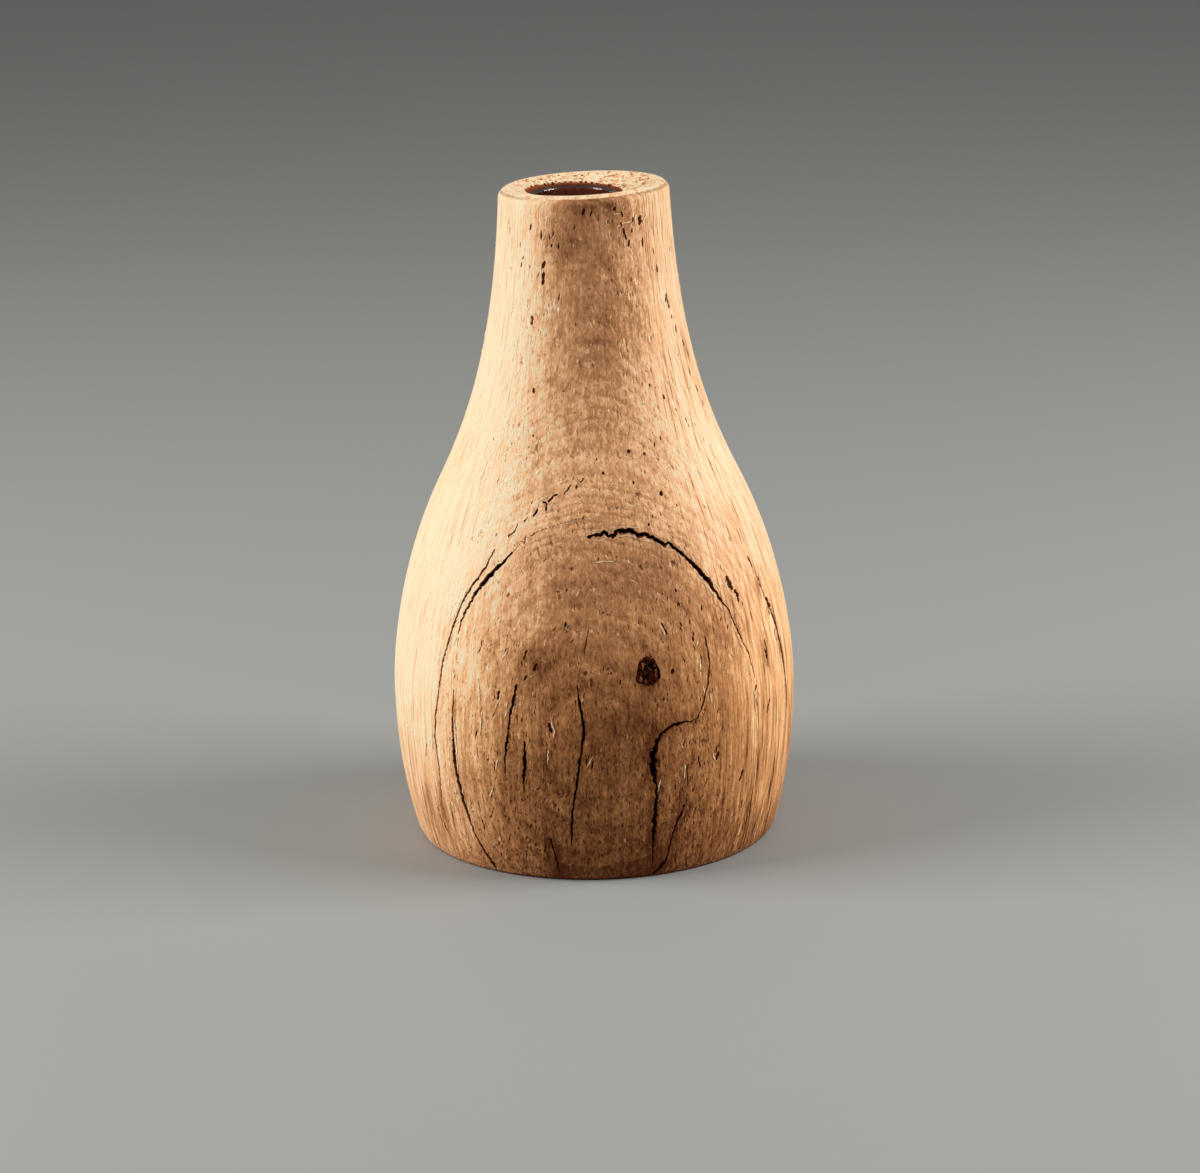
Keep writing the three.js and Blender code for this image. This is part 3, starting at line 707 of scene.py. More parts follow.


# raised torn fibre that catches the light, painted pale partly as a highlight: each line is a row of (degrees round,
# height)
lipLook = {
    "seed": 21, "step": 0.5, "jag": 0.1, "proud": 0.08, "reach": 0.985, "widths": (0.8, 1.0), "open": 1.0,
    "limit": 36.98, "jagFrom": 0.4, "uneven": (0.65, 1.25), "wide": 0.34, "ends": 0.3,
    "beside": 0.15, "splay": 1.15, "above": 0.35, "below": 0.45,
    "traced": [
        [(24.0, 117.4), (19.6, 117.5)], [(35.6, 117.1), (35.1, 115.7), (35.6, 114.4)],
        [(43.9, 116.4), (41.4, 115.0)], [(31.3, 115.8), (26.3, 115.7), (21.5, 115.1)],
        [(-32.2, 115.6), (-33.1, 114.4), (-34.1, 113.4)], [(-25.8, 114.8), (-26.8, 114.0), (-27.8, 113.2)],
        [(24.1, 114.8), (23.1, 113.5)], [(-19.1, 114.2), (-22.3, 113.0)],
        [(25.6, 113.5), (26.0, 112.4), (26.6, 111.3)], [(37.8, 112.2), (37.6, 111.1)],
        [(46.5, 107.1), (48.6, 106.2), (51.7, 105.5)], [(-15.0, 103.7), (-15.6, 102.1)],
        [(53.1, 100.2), (57.0, 98.8)], [(60.2, 91.8), (59.6, 90.7), (60.6, 89.5)], [(4.4, 74.9), (2.5, 74.8)],
        [(9.9, 71.6), (8.6, 71.0)], [(15.9, 71.5), (16.3, 70.6)], [(31.1, 69.6), (28.6, 70.4)],
        [(-15.6, 69.5), (-17.7, 68.9), (-19.8, 68.1)], [(-14.0, 68.2), (-14.9, 67.5), (-15.9, 66.8)],
        [(-17.8, 67.3), (-19.1, 66.4), (-20.3, 65.4)], [(21.7, 65.8), (21.2, 64.6)], [(0.1, 65.7), (-1.7, 65.6)],
        [(-4.3, 65.6), (-6.4, 65.4), (-8.6, 65.2)], [(7.3, 64.3), (6.4, 63.3)],
        [(-13.6, 64.3), (-15.0, 63.8), (-16.6, 63.4)], [(3.3, 63.8), (0.3, 63.8)],
        [(17.5, 63.7), (15.0, 63.9), (12.7, 64.1), (9.9, 64.2)], [(-0.3, 63.6), (-2.5, 63.2)],
        [(21.4, 63.5), (21.8, 62.7)], [(4.9, 62.4), (3.0, 62.1), (0.9, 62.2)],
        [(16.7, 62.1), (14.2, 62.4), (12.6, 62.7), (10.5, 62.6), (8.2, 62.8)], [(25.5, 61.8), (23.2, 61.9)],
        [(20.9, 61.3), (18.9, 61.5), (16.9, 61.7)], [(20.1, 59.6), (17.7, 59.8)],
        [(27.9, 59.4), (26.1, 59.6), (23.9, 59.9)], [(32.4, 58.8), (30.7, 59.8), (28.9, 60.7)],
        [(29.7, 58.8), (30.6, 58.0), (31.2, 57.1)], [(7.5, 58.6), (5.1, 58.6), (3.3, 58.6), (1.1, 58.5)],
        [(33.9, 58.5), (34.6, 57.5), (35.4, 56.5)], [(21.8, 58.3), (20.1, 59.1)],
        [(38.5, 55.2), (39.4, 54.3), (40.6, 53.1), (42.0, 51.9), (43.0, 50.5), (43.8, 49.7)],
        [(35.6, 54.6), (36.8, 53.5), (37.9, 52.5), (39.1, 51.4), (40.2, 50.2)], [(14.5, 54.5), (12.4, 55.3)],
        [(-3.7, 54.1), (-4.9, 52.8)], [(-41.7, 53.4), (-42.0, 52.4), (-42.6, 51.5)],
        [(44.5, 52.8), (45.7, 51.7), (45.8, 50.9), (46.9, 50.0), (48.2, 49.0)],
        [(49.7, 52.6), (50.2, 51.6), (50.9, 50.7)], [(21.8, 51.5), (22.7, 50.9)],
        [(-44.0, 49.9), (-44.7, 48.6), (-45.3, 47.7), (-46.0, 46.5)], [(33.6, 49.6), (33.6, 48.3)],
        [(40.7, 49.4), (41.5, 48.5), (42.4, 47.8)], [(46.2, 48.4), (45.9, 47.4), (46.0, 46.2)],
        [(-7.1, 48.3), (-8.0, 47.3)], [(20.0, 47.6), (20.7, 46.4), (21.3, 45.3)], [(44.3, 45.9), (45.4, 44.9)],
        [(45.5, 44.3), (46.2, 43.1), (46.8, 42.3), (47.2, 41.3), (48.2, 40.2)],
        [(-45.1, 44.3), (-45.6, 43.0), (-46.1, 41.7)], [(32.0, 44.2), (31.4, 43.4), (30.8, 42.7)],
        [(-43.4, 43.8), (-43.8, 43.0), (-44.3, 42.1)], [(-25.1, 43.2), (-26.0, 42.3), (-26.9, 41.3)],
        [(31.8, 40.4), (31.5, 39.2), (31.1, 37.7)], [(-17.1, 39.2), (-18.1, 38.8)], [(-18.6, 37.8), (-19.5, 36.9)],
        [(31.8, 35.6), (32.2, 34.1)], [(-26.7, 35.2), (-27.1, 34.2), (-27.9, 33.5), (-28.4, 32.4)],
        [(-20.6, 34.7), (-22.2, 35.3)], [(-24.6, 34.1), (-25.0, 33.2), (-25.1, 32.2), (-25.4, 31.1)],
        [(34.2, 34.1), (34.3, 33.1), (34.3, 32.1)], [(-22.0, 33.5), (-22.1, 32.3)],
        [(50.8, 32.4), (51.1, 31.0), (51.1, 29.9), (51.4, 28.6), (51.8, 27.2)],
        [(-32.5, 32.1), (-33.0, 30.7), (-33.1, 29.6), (-33.2, 28.6), (-33.7, 27.1)], [(35.2, 32.0), (35.0, 31.0)],
        [(-11.8, 31.3), (-11.7, 30.3), (-11.2, 29.3), (-11.4, 28.1)],
        [(-42.7, 30.0), (-42.6, 28.1), (-42.3, 25.5), (-42.2, 23.3), (-42.4, 20.8), (-42.2, 18.8)],
        [(-52.4, 27.1), (-52.5, 26.0), (-52.6, 24.7), (-52.7, 23.7), (-52.8, 22.4), (-52.8, 21.3)],
        [(-44.9, 26.4), (-44.8, 24.8)], [(52.0, 26.0), (52.2, 25.1), (52.2, 24.0)], [(24.3, 25.9), (24.9, 24.7)],
        [(-13.0, 25.8), (-13.1, 24.5), (-13.3, 23.2)], [(-0.7, 24.7), (-1.6, 23.6), (-2.4, 22.6)],
        [(-45.3, 23.7), (-45.3, 22.6), (-45.7, 21.1), (-45.4, 20.2), (-45.3, 19.0)],
        [(-27.9, 23.3), (-28.6, 22.0), (-29.0, 20.6)], [(34.5, 22.8), (34.9, 21.8), (35.9, 20.9)],
        [(25.6, 21.6), (25.4, 20.2), (25.4, 18.8)], [(18.2, 19.5), (17.8, 18.4), (17.5, 17.2)],
        [(-30.0, 17.8), (-31.0, 16.4), (-31.8, 14.9)],
        [(-44.6, 17.4), (-44.3, 16.4), (-44.1, 15.3), (-44.2, 14.2), (-43.9, 13.0), (-43.3, 12.1)],
        [(-41.3, 16.6), (-41.2, 15.3), (-41.0, 14.4), (-40.6, 13.1)], [(48.5, 6.7), (48.4, 5.5), (48.0, 4.6)],
        [(58.7, 4.8), (58.4, 3.5), (58.1, 2.2)], [(47.5, 4.1), (46.8, 2.8)]],
}


def raiseLips(turned, places):  # the traced lines, and one beside each of the scattered pits
    look = lipLook
    dice = random.Random(look["seed"])
    lines = list(look["traced"])
    for angle, z, tall, wide, _ in places:
        aside = math.degrees((wide / 2 + look["beside"]) / sideRadius(z))
        lines.append([(angle + aside, z + look["above"] * tall),
                      (angle + aside * look["splay"], z - look["below"] * tall)])
    blades = []
    for i, line in enumerate(lines):
        if len(line) == 2:
            line = [line[0], tuple((a + b) / 2 for a, b in zip(*line)), line[1]]
        ends = [look["ends"]] + [1.0] * (len(line) - 2) + [look["ends"]]
        route = [(*point, look["wide"] * end) for point, end in zip(line, ends)]
        blades.append(makeBlade(f"lip{i}", route, look, dice))
    cutAway(turned, mergeCrossing(joinAll(blades)), "UNION")
    print("lips raised:", len(blades), "leaving", len(turned.data.polygons), "faces")


# the torn edge of the drilled hole, mostly at the back where the drill broke the end grain
tearLook = {
    "seed": 3, "sides": 7, "rings": 5,
    "count": 64, "stray": (-0.6, 0.6), "wide": (0.3, 1.1), "tall": (0.3, 1.1), "deep": (0.3, 1.3),
    "specks": 210, "sector": (-20, 170), "reach": (7.0, 14.0), "clear": 0.4,
    "speckWide": (0.3, 1.3), "speckTall": (0.2, 0.5),
}


def tearMouth(turned):
    look = tearLook
    hole = Vector((vaseShape["boreOffset"], 0))
    radius = vaseShape["boreRadius"]
    dice = random.Random(look["seed"])
    splinter = makeGrain(look)
    tears = []

    def sizes(*keys):
        return [dice.uniform(*look[key]) for key in keys]

    def tear(spot, angle, size):
        place = Vector((spot.x, spot.y, mouthHeight(spot.length))) * mm
        tears.append(copyGrain(splinter, place, Matrix.Rotation(angle, 4, "Z"), size))

    for i in range(look["count"]):
        angle = math.tau * (i + dice.uniform(*look["stray"])) / look["count"]
        spot = hole + Vector((math.cos(angle), math.sin(angle))) * radius
        tear(spot, angle, sizes("deep", "wide", "tall"))
    for _ in range(look["specks"]):  # torn end grain in the dish, right and back
        angle = math.radians(dice.uniform(*look["sector"]))
        spot = Vector((math.cos(angle), math.sin(angle))) * dice.uniform(*look["reach"])
        size = sizes("speckWide", "speckWide", "speckTall")
        if (spot - hole).length > radius + look["clear"]:
            tear(spot, angle, size)
    bpy.data.objects.remove(splinter)
    cutAway(turned, mergeCrossing(joinAll(tears)))
    print("mouth torn:", len(tears), "leaving", len(turned.data.polygons), "faces")


# the dead knot, a plug set in its own pocket, seen as a rounded three-cornered end
knotLook = {
    "angle": 15.4, "height": 39.4, "wide": 4.3, "tall": 5.4, "length": 8.0, "taper": 0.7, "gap": 0.18, "sunk": 0.35,
    "pocketOver": 2.0, "pocketUnder": 0.2,
    "seed": 4, "corners": 48, "uneven": (0.95, 1.05), "lobes": 0.09, "ripple": 0.03,
    "steps": [(0.45, -0.35), (0.25, 0.28), (0.55, 0.0), (0.5, 0.0)],  # in from the bark: width and rise of each
    "crumble": 0.7, "crumbSize": 0.35,
    "ringWidth": 0.8, "wander": 1.5, "fibre": {"Fineness": 1.5, "Draw": 0.8, "Scarce": 0.53},
    "shades": [(0.25, (0.014, 0.0014, 0.0008)), (0.5, (0.055, 0.007, 0.003)), (0.8, (0.13, 0.024, 0.009))],
    "speck": (0.45, 0.21, 0.08), "hollow": (0.005, 0.002, 0.001),
    "ringShare": 0.3, "dim": 0.2, "speckShare": 0.5, "roughness": 0.6, "specular": 0.03, "relief": 0.0004,
    "smooth": 30,
}


def knotFrame(sunk):
    k = knotLook
    turn = Matrix.Rotation(math.radians(k["angle"]), 4, "Z") @ Matrix.Rotation(math.pi / 2, 4, "X")
    return Matrix.Translation(onSide(k["angle"], k["height"], -sunk)) @ turn


def knotOutline(name, grow):
    k = knotLook
    deselectAll()
    bpy.ops.mesh.primitive_circle_add(vertices=k["corners"], radius=mm, fill_type="NGON")
    end = bpy.context.object
    end.name = end.data.name = name
    dice = random.Random(k["seed"])
    for vertex in end.data.vertices:
        a = math.atan2(vertex.co.y, vertex.co.x)
        lobe = dice.uniform(*k["uneven"]) + k["lobes"] * math.cos(3 * a + math.pi / 2)
        lobe += k["ripple"] * math.cos(5 * a + 1)
        vertex.co.x = math.cos(a) * lobe * (k["wide"] / 2 + grow) * mm
        vertex.co.y = math.sin(a) * lobe * (k["tall"] / 2 + grow) * mm
    enterEdit()
    pickAll()
    return end


def drawBack(length):  # the plug narrows as it goes into the wood
    bpy.ops.mesh.extrude_region_move(TRANSFORM_OT_translate={"value": (0, 0, -length * mm)})
    bpy.ops.transform.resize(value=(knotLook["taper"], knotLook["taper"], 1), center_override=(0, 0, 0))
    faceOutwards()


def knotPocket(turned):
    k = knotLook
    cutter = knotOutline("knotPocket", k["gap"])
    bpy.ops.transform.translate(value=(0, 0, k["pocketOver"] * mm))
    drawBack(k["length"] + k["pocketOver"] + k["pocketUnder"])
    cutter.matrix_world = knotFrame(0)
    settle(cutter)
    cutAway(turned, cutter)


def makeKnot():
    k = knotLook
    knot = knotOutline("deadKnot", 0)
    drawBack(k["length"])
    for face in knot.data.polygons:
        face.select = face.normal.z > 0.9
    enterEdit()
    bpy.ops.mesh.select_mode(type="FACE")
    for width, rise in k["steps"]:
        bpy.ops.mesh.inset(thickness=width * mm, depth=rise * mm)
    bpy.ops.mesh.poke()
    bpy.ops.mesh.subdivide(number_cuts=1)
    bpy.ops.mesh.select_mode(type="VERT")
    bpy.ops.object.vertex_group_assign_new()
    leaveEdit()
    crumbs = bpy.data.textures.new("crumbs", "CLOUDS")  # goes by place, so each run gives the same knot
    crumbs.noise_scale = k["crumbSize"] * mm
    crumble = knot.modifiers.new("crumble", "DISPLACE")
    crumble.texture = crumbs
    crumble.texture_coords = "LOCAL"
    crumble.vertex_group = knot.vertex_groups[-1].name
    crumble.strength = k["crumble"] * mm
    applyModifier(knot, crumble)
    knot.matrix_world = knotFrame(k["sunk"])
    settle(knot)
    return knot


# brown stains in the wood: (degrees round, height, half width, half height, strength), in millimetres
stainLook = [
    (15, 55.5, 6, 4, 0.6), (27, 51, 6, 3, 0.4), (-17, 41, 3, 2.5, 0.8), (-14, 43, 3, 2, 0.6), (-2, 53, 8, 3, 0.25),
    (11, 31, 4, 2, 0.4), (36, 45, 2, 6, 0.5), (4, 118.8, 4, 1.2, 0.7), (16, 118.4, 5, 1.5, 0.8), (30, 116, 4, 3, 0.5),
    (-20, 113, 4, 3, 0.4), (9, 94, 4, 7, 0.4), (46, 45, 4, 6, 0.6), (15, 23, 2, 4, 0.35), (40, 41, 3, 5, 0.55),
    (39, 27, 3.5, 9, 0.35), (41, 12, 4, 8, 0.3), (70, 88, 2, 8, 0.5), (35, 42, 3, 8, 0.35), (60, 60, 3, 20, 0.3),
    (66, 50, 0.9, 6, 0.5), (69, 38, 0.8, 8, 0.5), (62, 30, 0.8, 7, 0.4), (74, 56, 0.8, 8, 0.5), (58, 20, 0.8, 8, 0.4),
    (64, 14, 0.8, 6, 0.5), (51, 9, 0.8, 6, 0.45), (45, 7, 0.8, 6, 0.45), (57, 6, 0.8, 5, 0.45), (37, 6, 0.8, 5, 0.35),
    (-52, 10, 0.8, 6, 0.35), (-59, 12, 0.8, 6, 0.35), (-63, 34, 0.8, 9, 0.2), (-57, 70, 0.8, 9, 0.2),
    (-66, 52, 0.8, 9, 0.2), (150, 40, 8, 14, 0.4), (-140, 60, 7, 10, 0.35), (-110, 20, 9, 8, 0.35),
    (100, 18, 8, 9, 0.35)]
stainedChecks = {
    "leftStreak": 0.15, "leftSlit": 0.15, "forkRight": 0.6, "crookRight": 0.35, "footSlit": 0.6, "edgeRight": 0.6,
    "edgeSlit": 0.5}
paintLook = {"checkWide": 1.3, "checkTall": 2.2, "fade": 6, "boreReach": 1.2, "boreDeep": 1.6, "proud": 0.06}


def underSkin(place):  # how far a point lies under the turned surface
    s = vaseShape
    r = place.xy.length
    crest = s["rimRadius"] - s["rimRound"], s["height"] - s["rimRound"]
    edge = s["rimRadius"] - s["rimRound"] * (1 + math.sin(math.radians(s["mouthSlope"])))
    ringInside = s["foot"][0] - s["footEdge"] - s["footRing"]
    hollow = s["undercut"] * max(0, 1 - (r / ringInside) ** 2)
    if place.z > crest[1]:
        return mouthHeight(r) - place.z if r < edge else s["rimRound"] - math.dist((r, place.z), crest)
    if place.z < s["footEdge"]:
        return min(place.z - hollow, s["foot"][0] - r)
    return min(sideRadius(place.z) - r, place.z - hollow)


# keeps with each point its depth under the skin or its height above it, the stains and the wall of the hole
def paintBody(turned):
    s = vaseShape
    look = paintLook
    kept = {"sunk": [], "stain": [], "bored": [], "raised": []}
    spots = [(onSide(a, z) / mm, wide, tall, strength) for a, z, wide, tall, strength in stainLook]
    for name, strength in stainedChecks.items():
        route = checkLook["routes"][name]
        spots += [(onSide(a, z) / mm, look["checkWide"], look["checkTall"], strength) for a, z, _ in route]
    for vertex in turned.data.vertices:
        place = vertex.co / mm
        depth = underSkin(place)
        inBore = (place.xy - Vector((s["boreOffset"], 0))).length < s["boreRadius"] + look["boreReach"]
        kept["sunk"].append(0 if inBore else max(0, depth))
        kept["bored"].append(min(1, max(0, depth) / look["boreDeep"]) if inBore else 0)
        kept["raised"].append(0 if inBore else min(1, max(0, -depth / look["proud"])))
        clean = 1.0
        for centre, wide, tall, strength in spots:
            gap = place - centre
            spread = gap.xy.length_squared / wide**2 + gap.z**2 / tall**2
            if spread < look["fade"]:
                clean *= 1 - strength * math.exp(-spread)
        kept["stain"].append(1 - clean)
    for name, values in kept.items():
        turned.data.attributes.new(name, "FLOAT", "POINT").data.foreach_set("value", values)


# shades of the wood from dark to pale, and how pale it is up the front, the left and the right: (height, shade)
woodLook = {
    "girth": 30.0, "pith": (0.0, 40.0, 0.0), "ringWidth": 0.85, "wander": 1.6,
    "fibres": {  # fineness, how much of it is left up the grain, and how scarce the pores are
        "grain": (1.6, 0.45, 0.66), "small": (3.4, 0.35, 0.62),
        "streaky": (1.3, 0.05, 0.62), "thready": (2.6, 0.06, 0.64)},
    "squat": (1, 1, 0.6), "blotch": (0.1, 3.0, 0.6), "mottle": (0.5, 4.0, 0.65), "patch": (0.35, 2.0),
    "shades": [
        (0.0, (0.11, 0.026, 0.0065)), (0.15, (0.185, 0.065, 0.022)), (0.3, (0.305, 0.125, 0.047)),
        (0.55, (0.55, 0.255, 0.108)), (0.77, (0.89, 0.49, 0.25)), (0.9, (0.9, 0.64, 0.385)),
        (1.0, (0.86, 0.705, 0.465))],
    # up the front the wood darkens towards the foot, partly its own colour and partly painted shade
    "front": [(0, 0.07), (10, 0.2), (24, 0.235), (38, 0.3), (50, 0.46), (62, 0.5), (76, 0.64), (88, 0.6), (100, 0.49),
              (121, 0.42)],
    "left": [(0, 0.6), (10, 0.74), (26, 0.9), (42, 0.96), (58, 0.98), (121, 0.95)],
    "right": [(0, 0.14), (10, 0.42), (22, 0.56), (40, 0.69), (52, 0.78), (66, 0.9), (80, 0.88), (96, 0.82),
              (121, 0.82)],
    "boreEdge": (0.33, 0.085, 0.016), "boreWall": (0.19, 0.042, 0.011), "boreDeep": (0.2, 0.04, 0.015),
    # torn is the pale colour of raised torn fibre, brightened as a painted highlight
    "warmBounce": (1.0, 0.94, 0.8), "torn": (0.97, 0.73, 0.46), "cavityShade": (0.010, 0.004, 0.002),
    "roughness": (0.44, 0.68), "specular": 0.1, "relief": 0.0004,
}

# where each part of the look starts and where it is full: millimetres up or out, or a share
woodZones = {
    "dish": (15.1, 14.6), "rim": (117.4, 118.2), "footTurn": (0.3, 1.2), "patchy": (0.42, 0.6),
    "low": (62.0, 20.0), "warmBounce": (62.0, 30.0), "speckled": (55.0, 0.0), "shoulder": (56.0, 72.0),
    "left": (0.08, 0.75), "right": (0.2, 0.9), "flank": (0.45, 0.85),
    "rightEdge": (0.78, 0.96), "belowShoulder": (68.0, 48.0), "besideDarkFront": (0.12, 0.36), "belowBelly": (50.0, 36.0),
    "stained": (0.3, 0.6), "mouthFlecks": (0.5, 0.62), "sunkShade": (0.04, 0.3), "cavityShade": (0.42, 1.1),
    "boreEdge": (0.0, 0.15), "boreWall": (0.15, 0.45), "boreDeep": (0.5, 1.0),
}


def oiledWood():
    w = woodLook
    material, tree, shader, place = startMaterial("oiledWood")
    height = wire(tree, "ShaderNodeSeparateXYZ", None, [place]).outputs[2]
    level = vector(tree, "MULTIPLY", place, (1, 1, 0))
    outward = vector(tree, "NORMALIZE", level)
    across = wire(tree, "ShaderNodeSeparateXYZ", None, [outward]).outputs[0]
    rings = wire(tree, "ShaderNodeGroup", {"node_tree": ringGroup}, {
        "Place": place, "Pith": w["pith"], "Across": (1, 1, 0), "Width": w["ringWidth"], "Wander": w["wander"]})

    def fibres(name, where):
        fineness, draw, scarce = w["fibres"][name]
        values = {"Place": where, "Fineness": fineness, "Draw": draw, "Scarce": scarce}
        return wire(tree, "ShaderNodeGroup", {"node_tree": fibreGroup}, values).outputs

    def zone(name, value):
        return between(tree, value, *woodZones[name])

    def times(*values):
        product = values[0]
        for value in values[1:]:
            product = calc(tree, "MULTIPLY", product, value)
        return product

    def add(base, *parts):  # each part is a value and its share
        for value, share in parts:
            base = calc(tree, "MULTIPLY_ADD", value, share, base)
        return base

    def mix(share, low, high):
        return wire(tree, "ShaderNodeMix", None, [share, None, low, high]).outputs[0]

    def minus(value, less):
        return calc(tree, "SUBTRACT", value, less)

    def swing(value):  # a noise made to swing round nought
        return minus(value, 0.5)

    # streaks run unbroken up the sides, so they are wound round a plain cylinder there
    reach = vector(tree, "LENGTH", level)
    mouth = times(zone("dish", reach), zone("rim", height))
    steep = times(minus(1.0, mouth), zone("footTurn", height))
    girth = add(reach, (steep, minus(w["girth"], reach)))
    wound = vector(tree, "MULTIPLY", outward, wire(tree, "ShaderNodeCombineXYZ", None, [girth, girth]).outputs[0])
    wound = vector(tree, "ADD", wound, vector(tree, "MULTIPLY", place, (0, 0, 1)))
    grain, small = fibres("grain", place), fibres("small", place)
    streaky, thready = fibres("streaky", wound), fibres("thready", wound)
    squat = vector(tree, "MULTIPLY", place, w["squat"])
    blotch, mottle = [grainNoise(tree, squat, *w[name]).outputs[0] for name in ("blotch", "mottle")]
    patchy = zone("patchy", grainNoise(tree, place, *w["patch"]).outputs[0])
    sunk, stain, bored, raised = [wire(tree, "ShaderNodeAttribute", {"attribute_name": name}).outputs["Fac"]
                                  for name in ("sunk", "stain", "bored", "raised")]

    # how pale the wood is: darker down the front and at the foot, partly heartwood and partly painted shade where the
    # side lamps reach less, sapwood on the left, browner on the right
    def upTheSide(name):
        top = vaseShape["height"]
        return ramp(tree, calc(tree, "DIVIDE", height, top), [(z / top, shade) for z, shade in w[name]])

    uneven = add(-0.3, (blotch, 0.4), (streaky["Fibre"], 0.2))
    low = zone("low", height)
    leftFrom, leftFull = woodZones["left"]
    leftShare = between(tree, minus(uneven, across), leftFrom, add(leftFull, (low, 0.3)))
    rightShare = zone("right", calc(tree, "ADD", uneven, across))
    shade = mix(rightShare, mix(leftShare, upTheSide("front"), upTheSide("left")), upTheSide("right"))
    # paler along the right edge below the shoulder, and beside the dark front below the belly
    shade = add(shade, (times(zone("rightEdge", across), zone("belowShoulder", height)), 0.09))
    aside = calc(tree, "ABSOLUTE", minus(across, 0.08))
    shade = add(shade, (times(zone("besideDarkFront", aside), zone("belowBelly", height)), 0.07))
    # painted highlight: the dish and the crest round the mouth are made pale, for the light from above on them
    shade = calc(tree, "MAXIMUM", shade, times(mouth, 0.97))

    # rings, fibre and blotches, streaks along the sides, and stains
    flank = zone("flank", calc(tree, "ABSOLUTE", across))
    facing = add(0.0, (swing(grain["Fibre"]), 0.75), (swing(small["Fibre"]), 0.5), (swing(mottle), 0.5),
                 (swing(streaky["Fibre"]), 0.2))
    sideways = add(0.0, (swing(streaky["Fibre"]), 0.9), (swing(thready["Fibre"]), 0.75), (swing(grain["Fibre"]), 0.2))
    figure = mix(times(flank, 0.85), facing, sideways)
    figure = add(figure, (times(swing(rings.outputs["Tone"]), add(0.35, (patchy, 0.65))), 0.26),
                 (times(swing(streaky["Fibre"]), low), 0.3), (swing(blotch), 0.3))
    shade = add(shade, (figure, add(1.0, (leftShare, -0.25))), (times(stain, zone("stained", mottle)), -0.45))

    # open pores along each ring with pale lips, partly frayed fibre and partly painted highlight, dashes along the
    # sides, specks towards the foot
    endGrain = add(1.0, (flank, -0.8))
    torn = times(patchy, add(0.25, (rings.outputs["Early"], 0.75)), endGrain)
    pores = add(times(small["Pores"], torn), (times(grain["Pores"], patchy, endGrain), 0.7))
    lips = add(times(small["Lips"], torn), (times(grain["Lips"], patchy), 0.7))
    dashes = add(times(streaky["Pores"], add(0.1, (flank, 0.3))), (times(thready["Pores"], flank), 0.8))
    specks = times(small["Pores"], zone("speckled", height), endGrain)
    holes = add(0.0, (pores, add(-0.5, (zone("shoulder", height), 0.15))), (dashes, -0.38), (specks, -0.35))
    # the pale lips are partly a painted highlight
    shade = add(shade, (holes, add(1.0, (leftShare, -0.45))), (lips, 0.42))
    # the dish gets darker flecks; the walls of pits and checks are darkened with depth, painted shade
    shade = add(shade, (times(mouth, zone("mouthFlecks", mottle)), -0.3), (zone("sunkShade", sunk), -0.6))
    colour = ramp(tree, shade, w["shades"])
    # painted reflected light: towards the foot, away from the left, the colour is tinted warmer
    warmBounce = times(zone("warmBounce", height), minus(1.0, leftShare))
    colour = blendColour(tree, warmBounce, colour, w["warmBounce"], "MULTIPLY")
    # painted highlight: raised torn fibre is made near white, partly its own pale fibre and partly the glint it catches
    colour = blendColour(tree, times(raised, 0.9), colour, w["torn"])
    for name in ("boreEdge", "boreWall", "boreDeep"):
        colour = blendColour(tree, zone(name, bored), colour, w[name])
    # painted shade: deep in the pits and checks the colour goes near black
    colour = blendColour(tree, zone("cavityShade", sunk), colour, w["cavityShade"])
    tree.links.new(colour, shader.inputs["Base Color"])

    smooth, coarse = w["roughness"]
    rough = add(smooth, (grain["Fibre"], coarse - smooth), (pores, 0.2))
    tree.links.new(rough, shader.inputs["Roughness"])
    shader.inputs["Specular IOR Level"].default_value = w["specular"]
    pebbled = add(1.0, (flank, -0.75))  # the flanks are cut along the grain, so they are streaked instead
    relief = add(0.0, (times(grain["Fibre"], pebbled), 0.6), (times(small["Fibre"], pebbled), 0.4), (lips, 0.4),
                 (times(thready["Fibre"], flank), 0.5), (pores, -1.0), (specks, -0.6),
                 (times(dashes, add(1.0, (leftShare, -0.6))), -0.8))
    addRelief(tree, shader, relief, w["relief"])
    return material


body = turnBody()
print("body turned:", len(body.data.polygons), "faces")
tearMouth(body)
scattered = scatterPits()
raiseLips(body, scattered)
openChecks(body)
knotPocket(body)
openPits(body, pitLook["traced"] + scattered + stitchPits())
dropSplinters(body)
paintBody(body)
leanRim(body)
finishPiece(body, oiledWood(), "vase", "turned_body", vaseShape["smooth"])


def knotWood():
    k = knotLook
    material, tree, shader, place = startMaterial("knotWood")
    centre = tuple(onSide(k["angle"], k["height"]) / mm)
    rings = wire(tree, "ShaderNodeGroup", {"node_tree": ringGroup}, {
        "Place": place, "Pith": centre, "Across": (1, 0, 1), "Width": k["ringWidth"], "Wander": k["wander"]})
    fibre = wire(tree, "ShaderNodeGroup", {"node_tree": fibreGroup}, {"Place": place, **k["fibre"]}).outputs
    shade = calc(tree, "SUBTRACT", fibre["Fibre"], k["dim"])
    shade = calc(tree, "MULTIPLY_ADD", rings.outputs["Tone"], k["ringShare"], shade)
    colour = ramp(tree, shade, k["shades"])
    colour = blendColour(tree, calc(tree, "MULTIPLY", fibre["Lips"], k["speckShare"]), colour, k["speck"])
    colour = blendColour(tree, fibre["Pores"], colour, k["hollow"])
    tree.links.new(colour, shader.inputs["Base Color"])
    shader.inputs["Roughness"].default_value = k["roughness"]
    shader.inputs["Specular IOR Level"].default_value = k["specular"]
    addRelief(tree, shader, calc(tree, "SUBTRACT", fibre["Fibre"], fibre["Pores"]), k["relief"])
    return material


finishPiece(makeKnot(), knotWood(), "vase", "dead_knot", knotLook["smooth"])

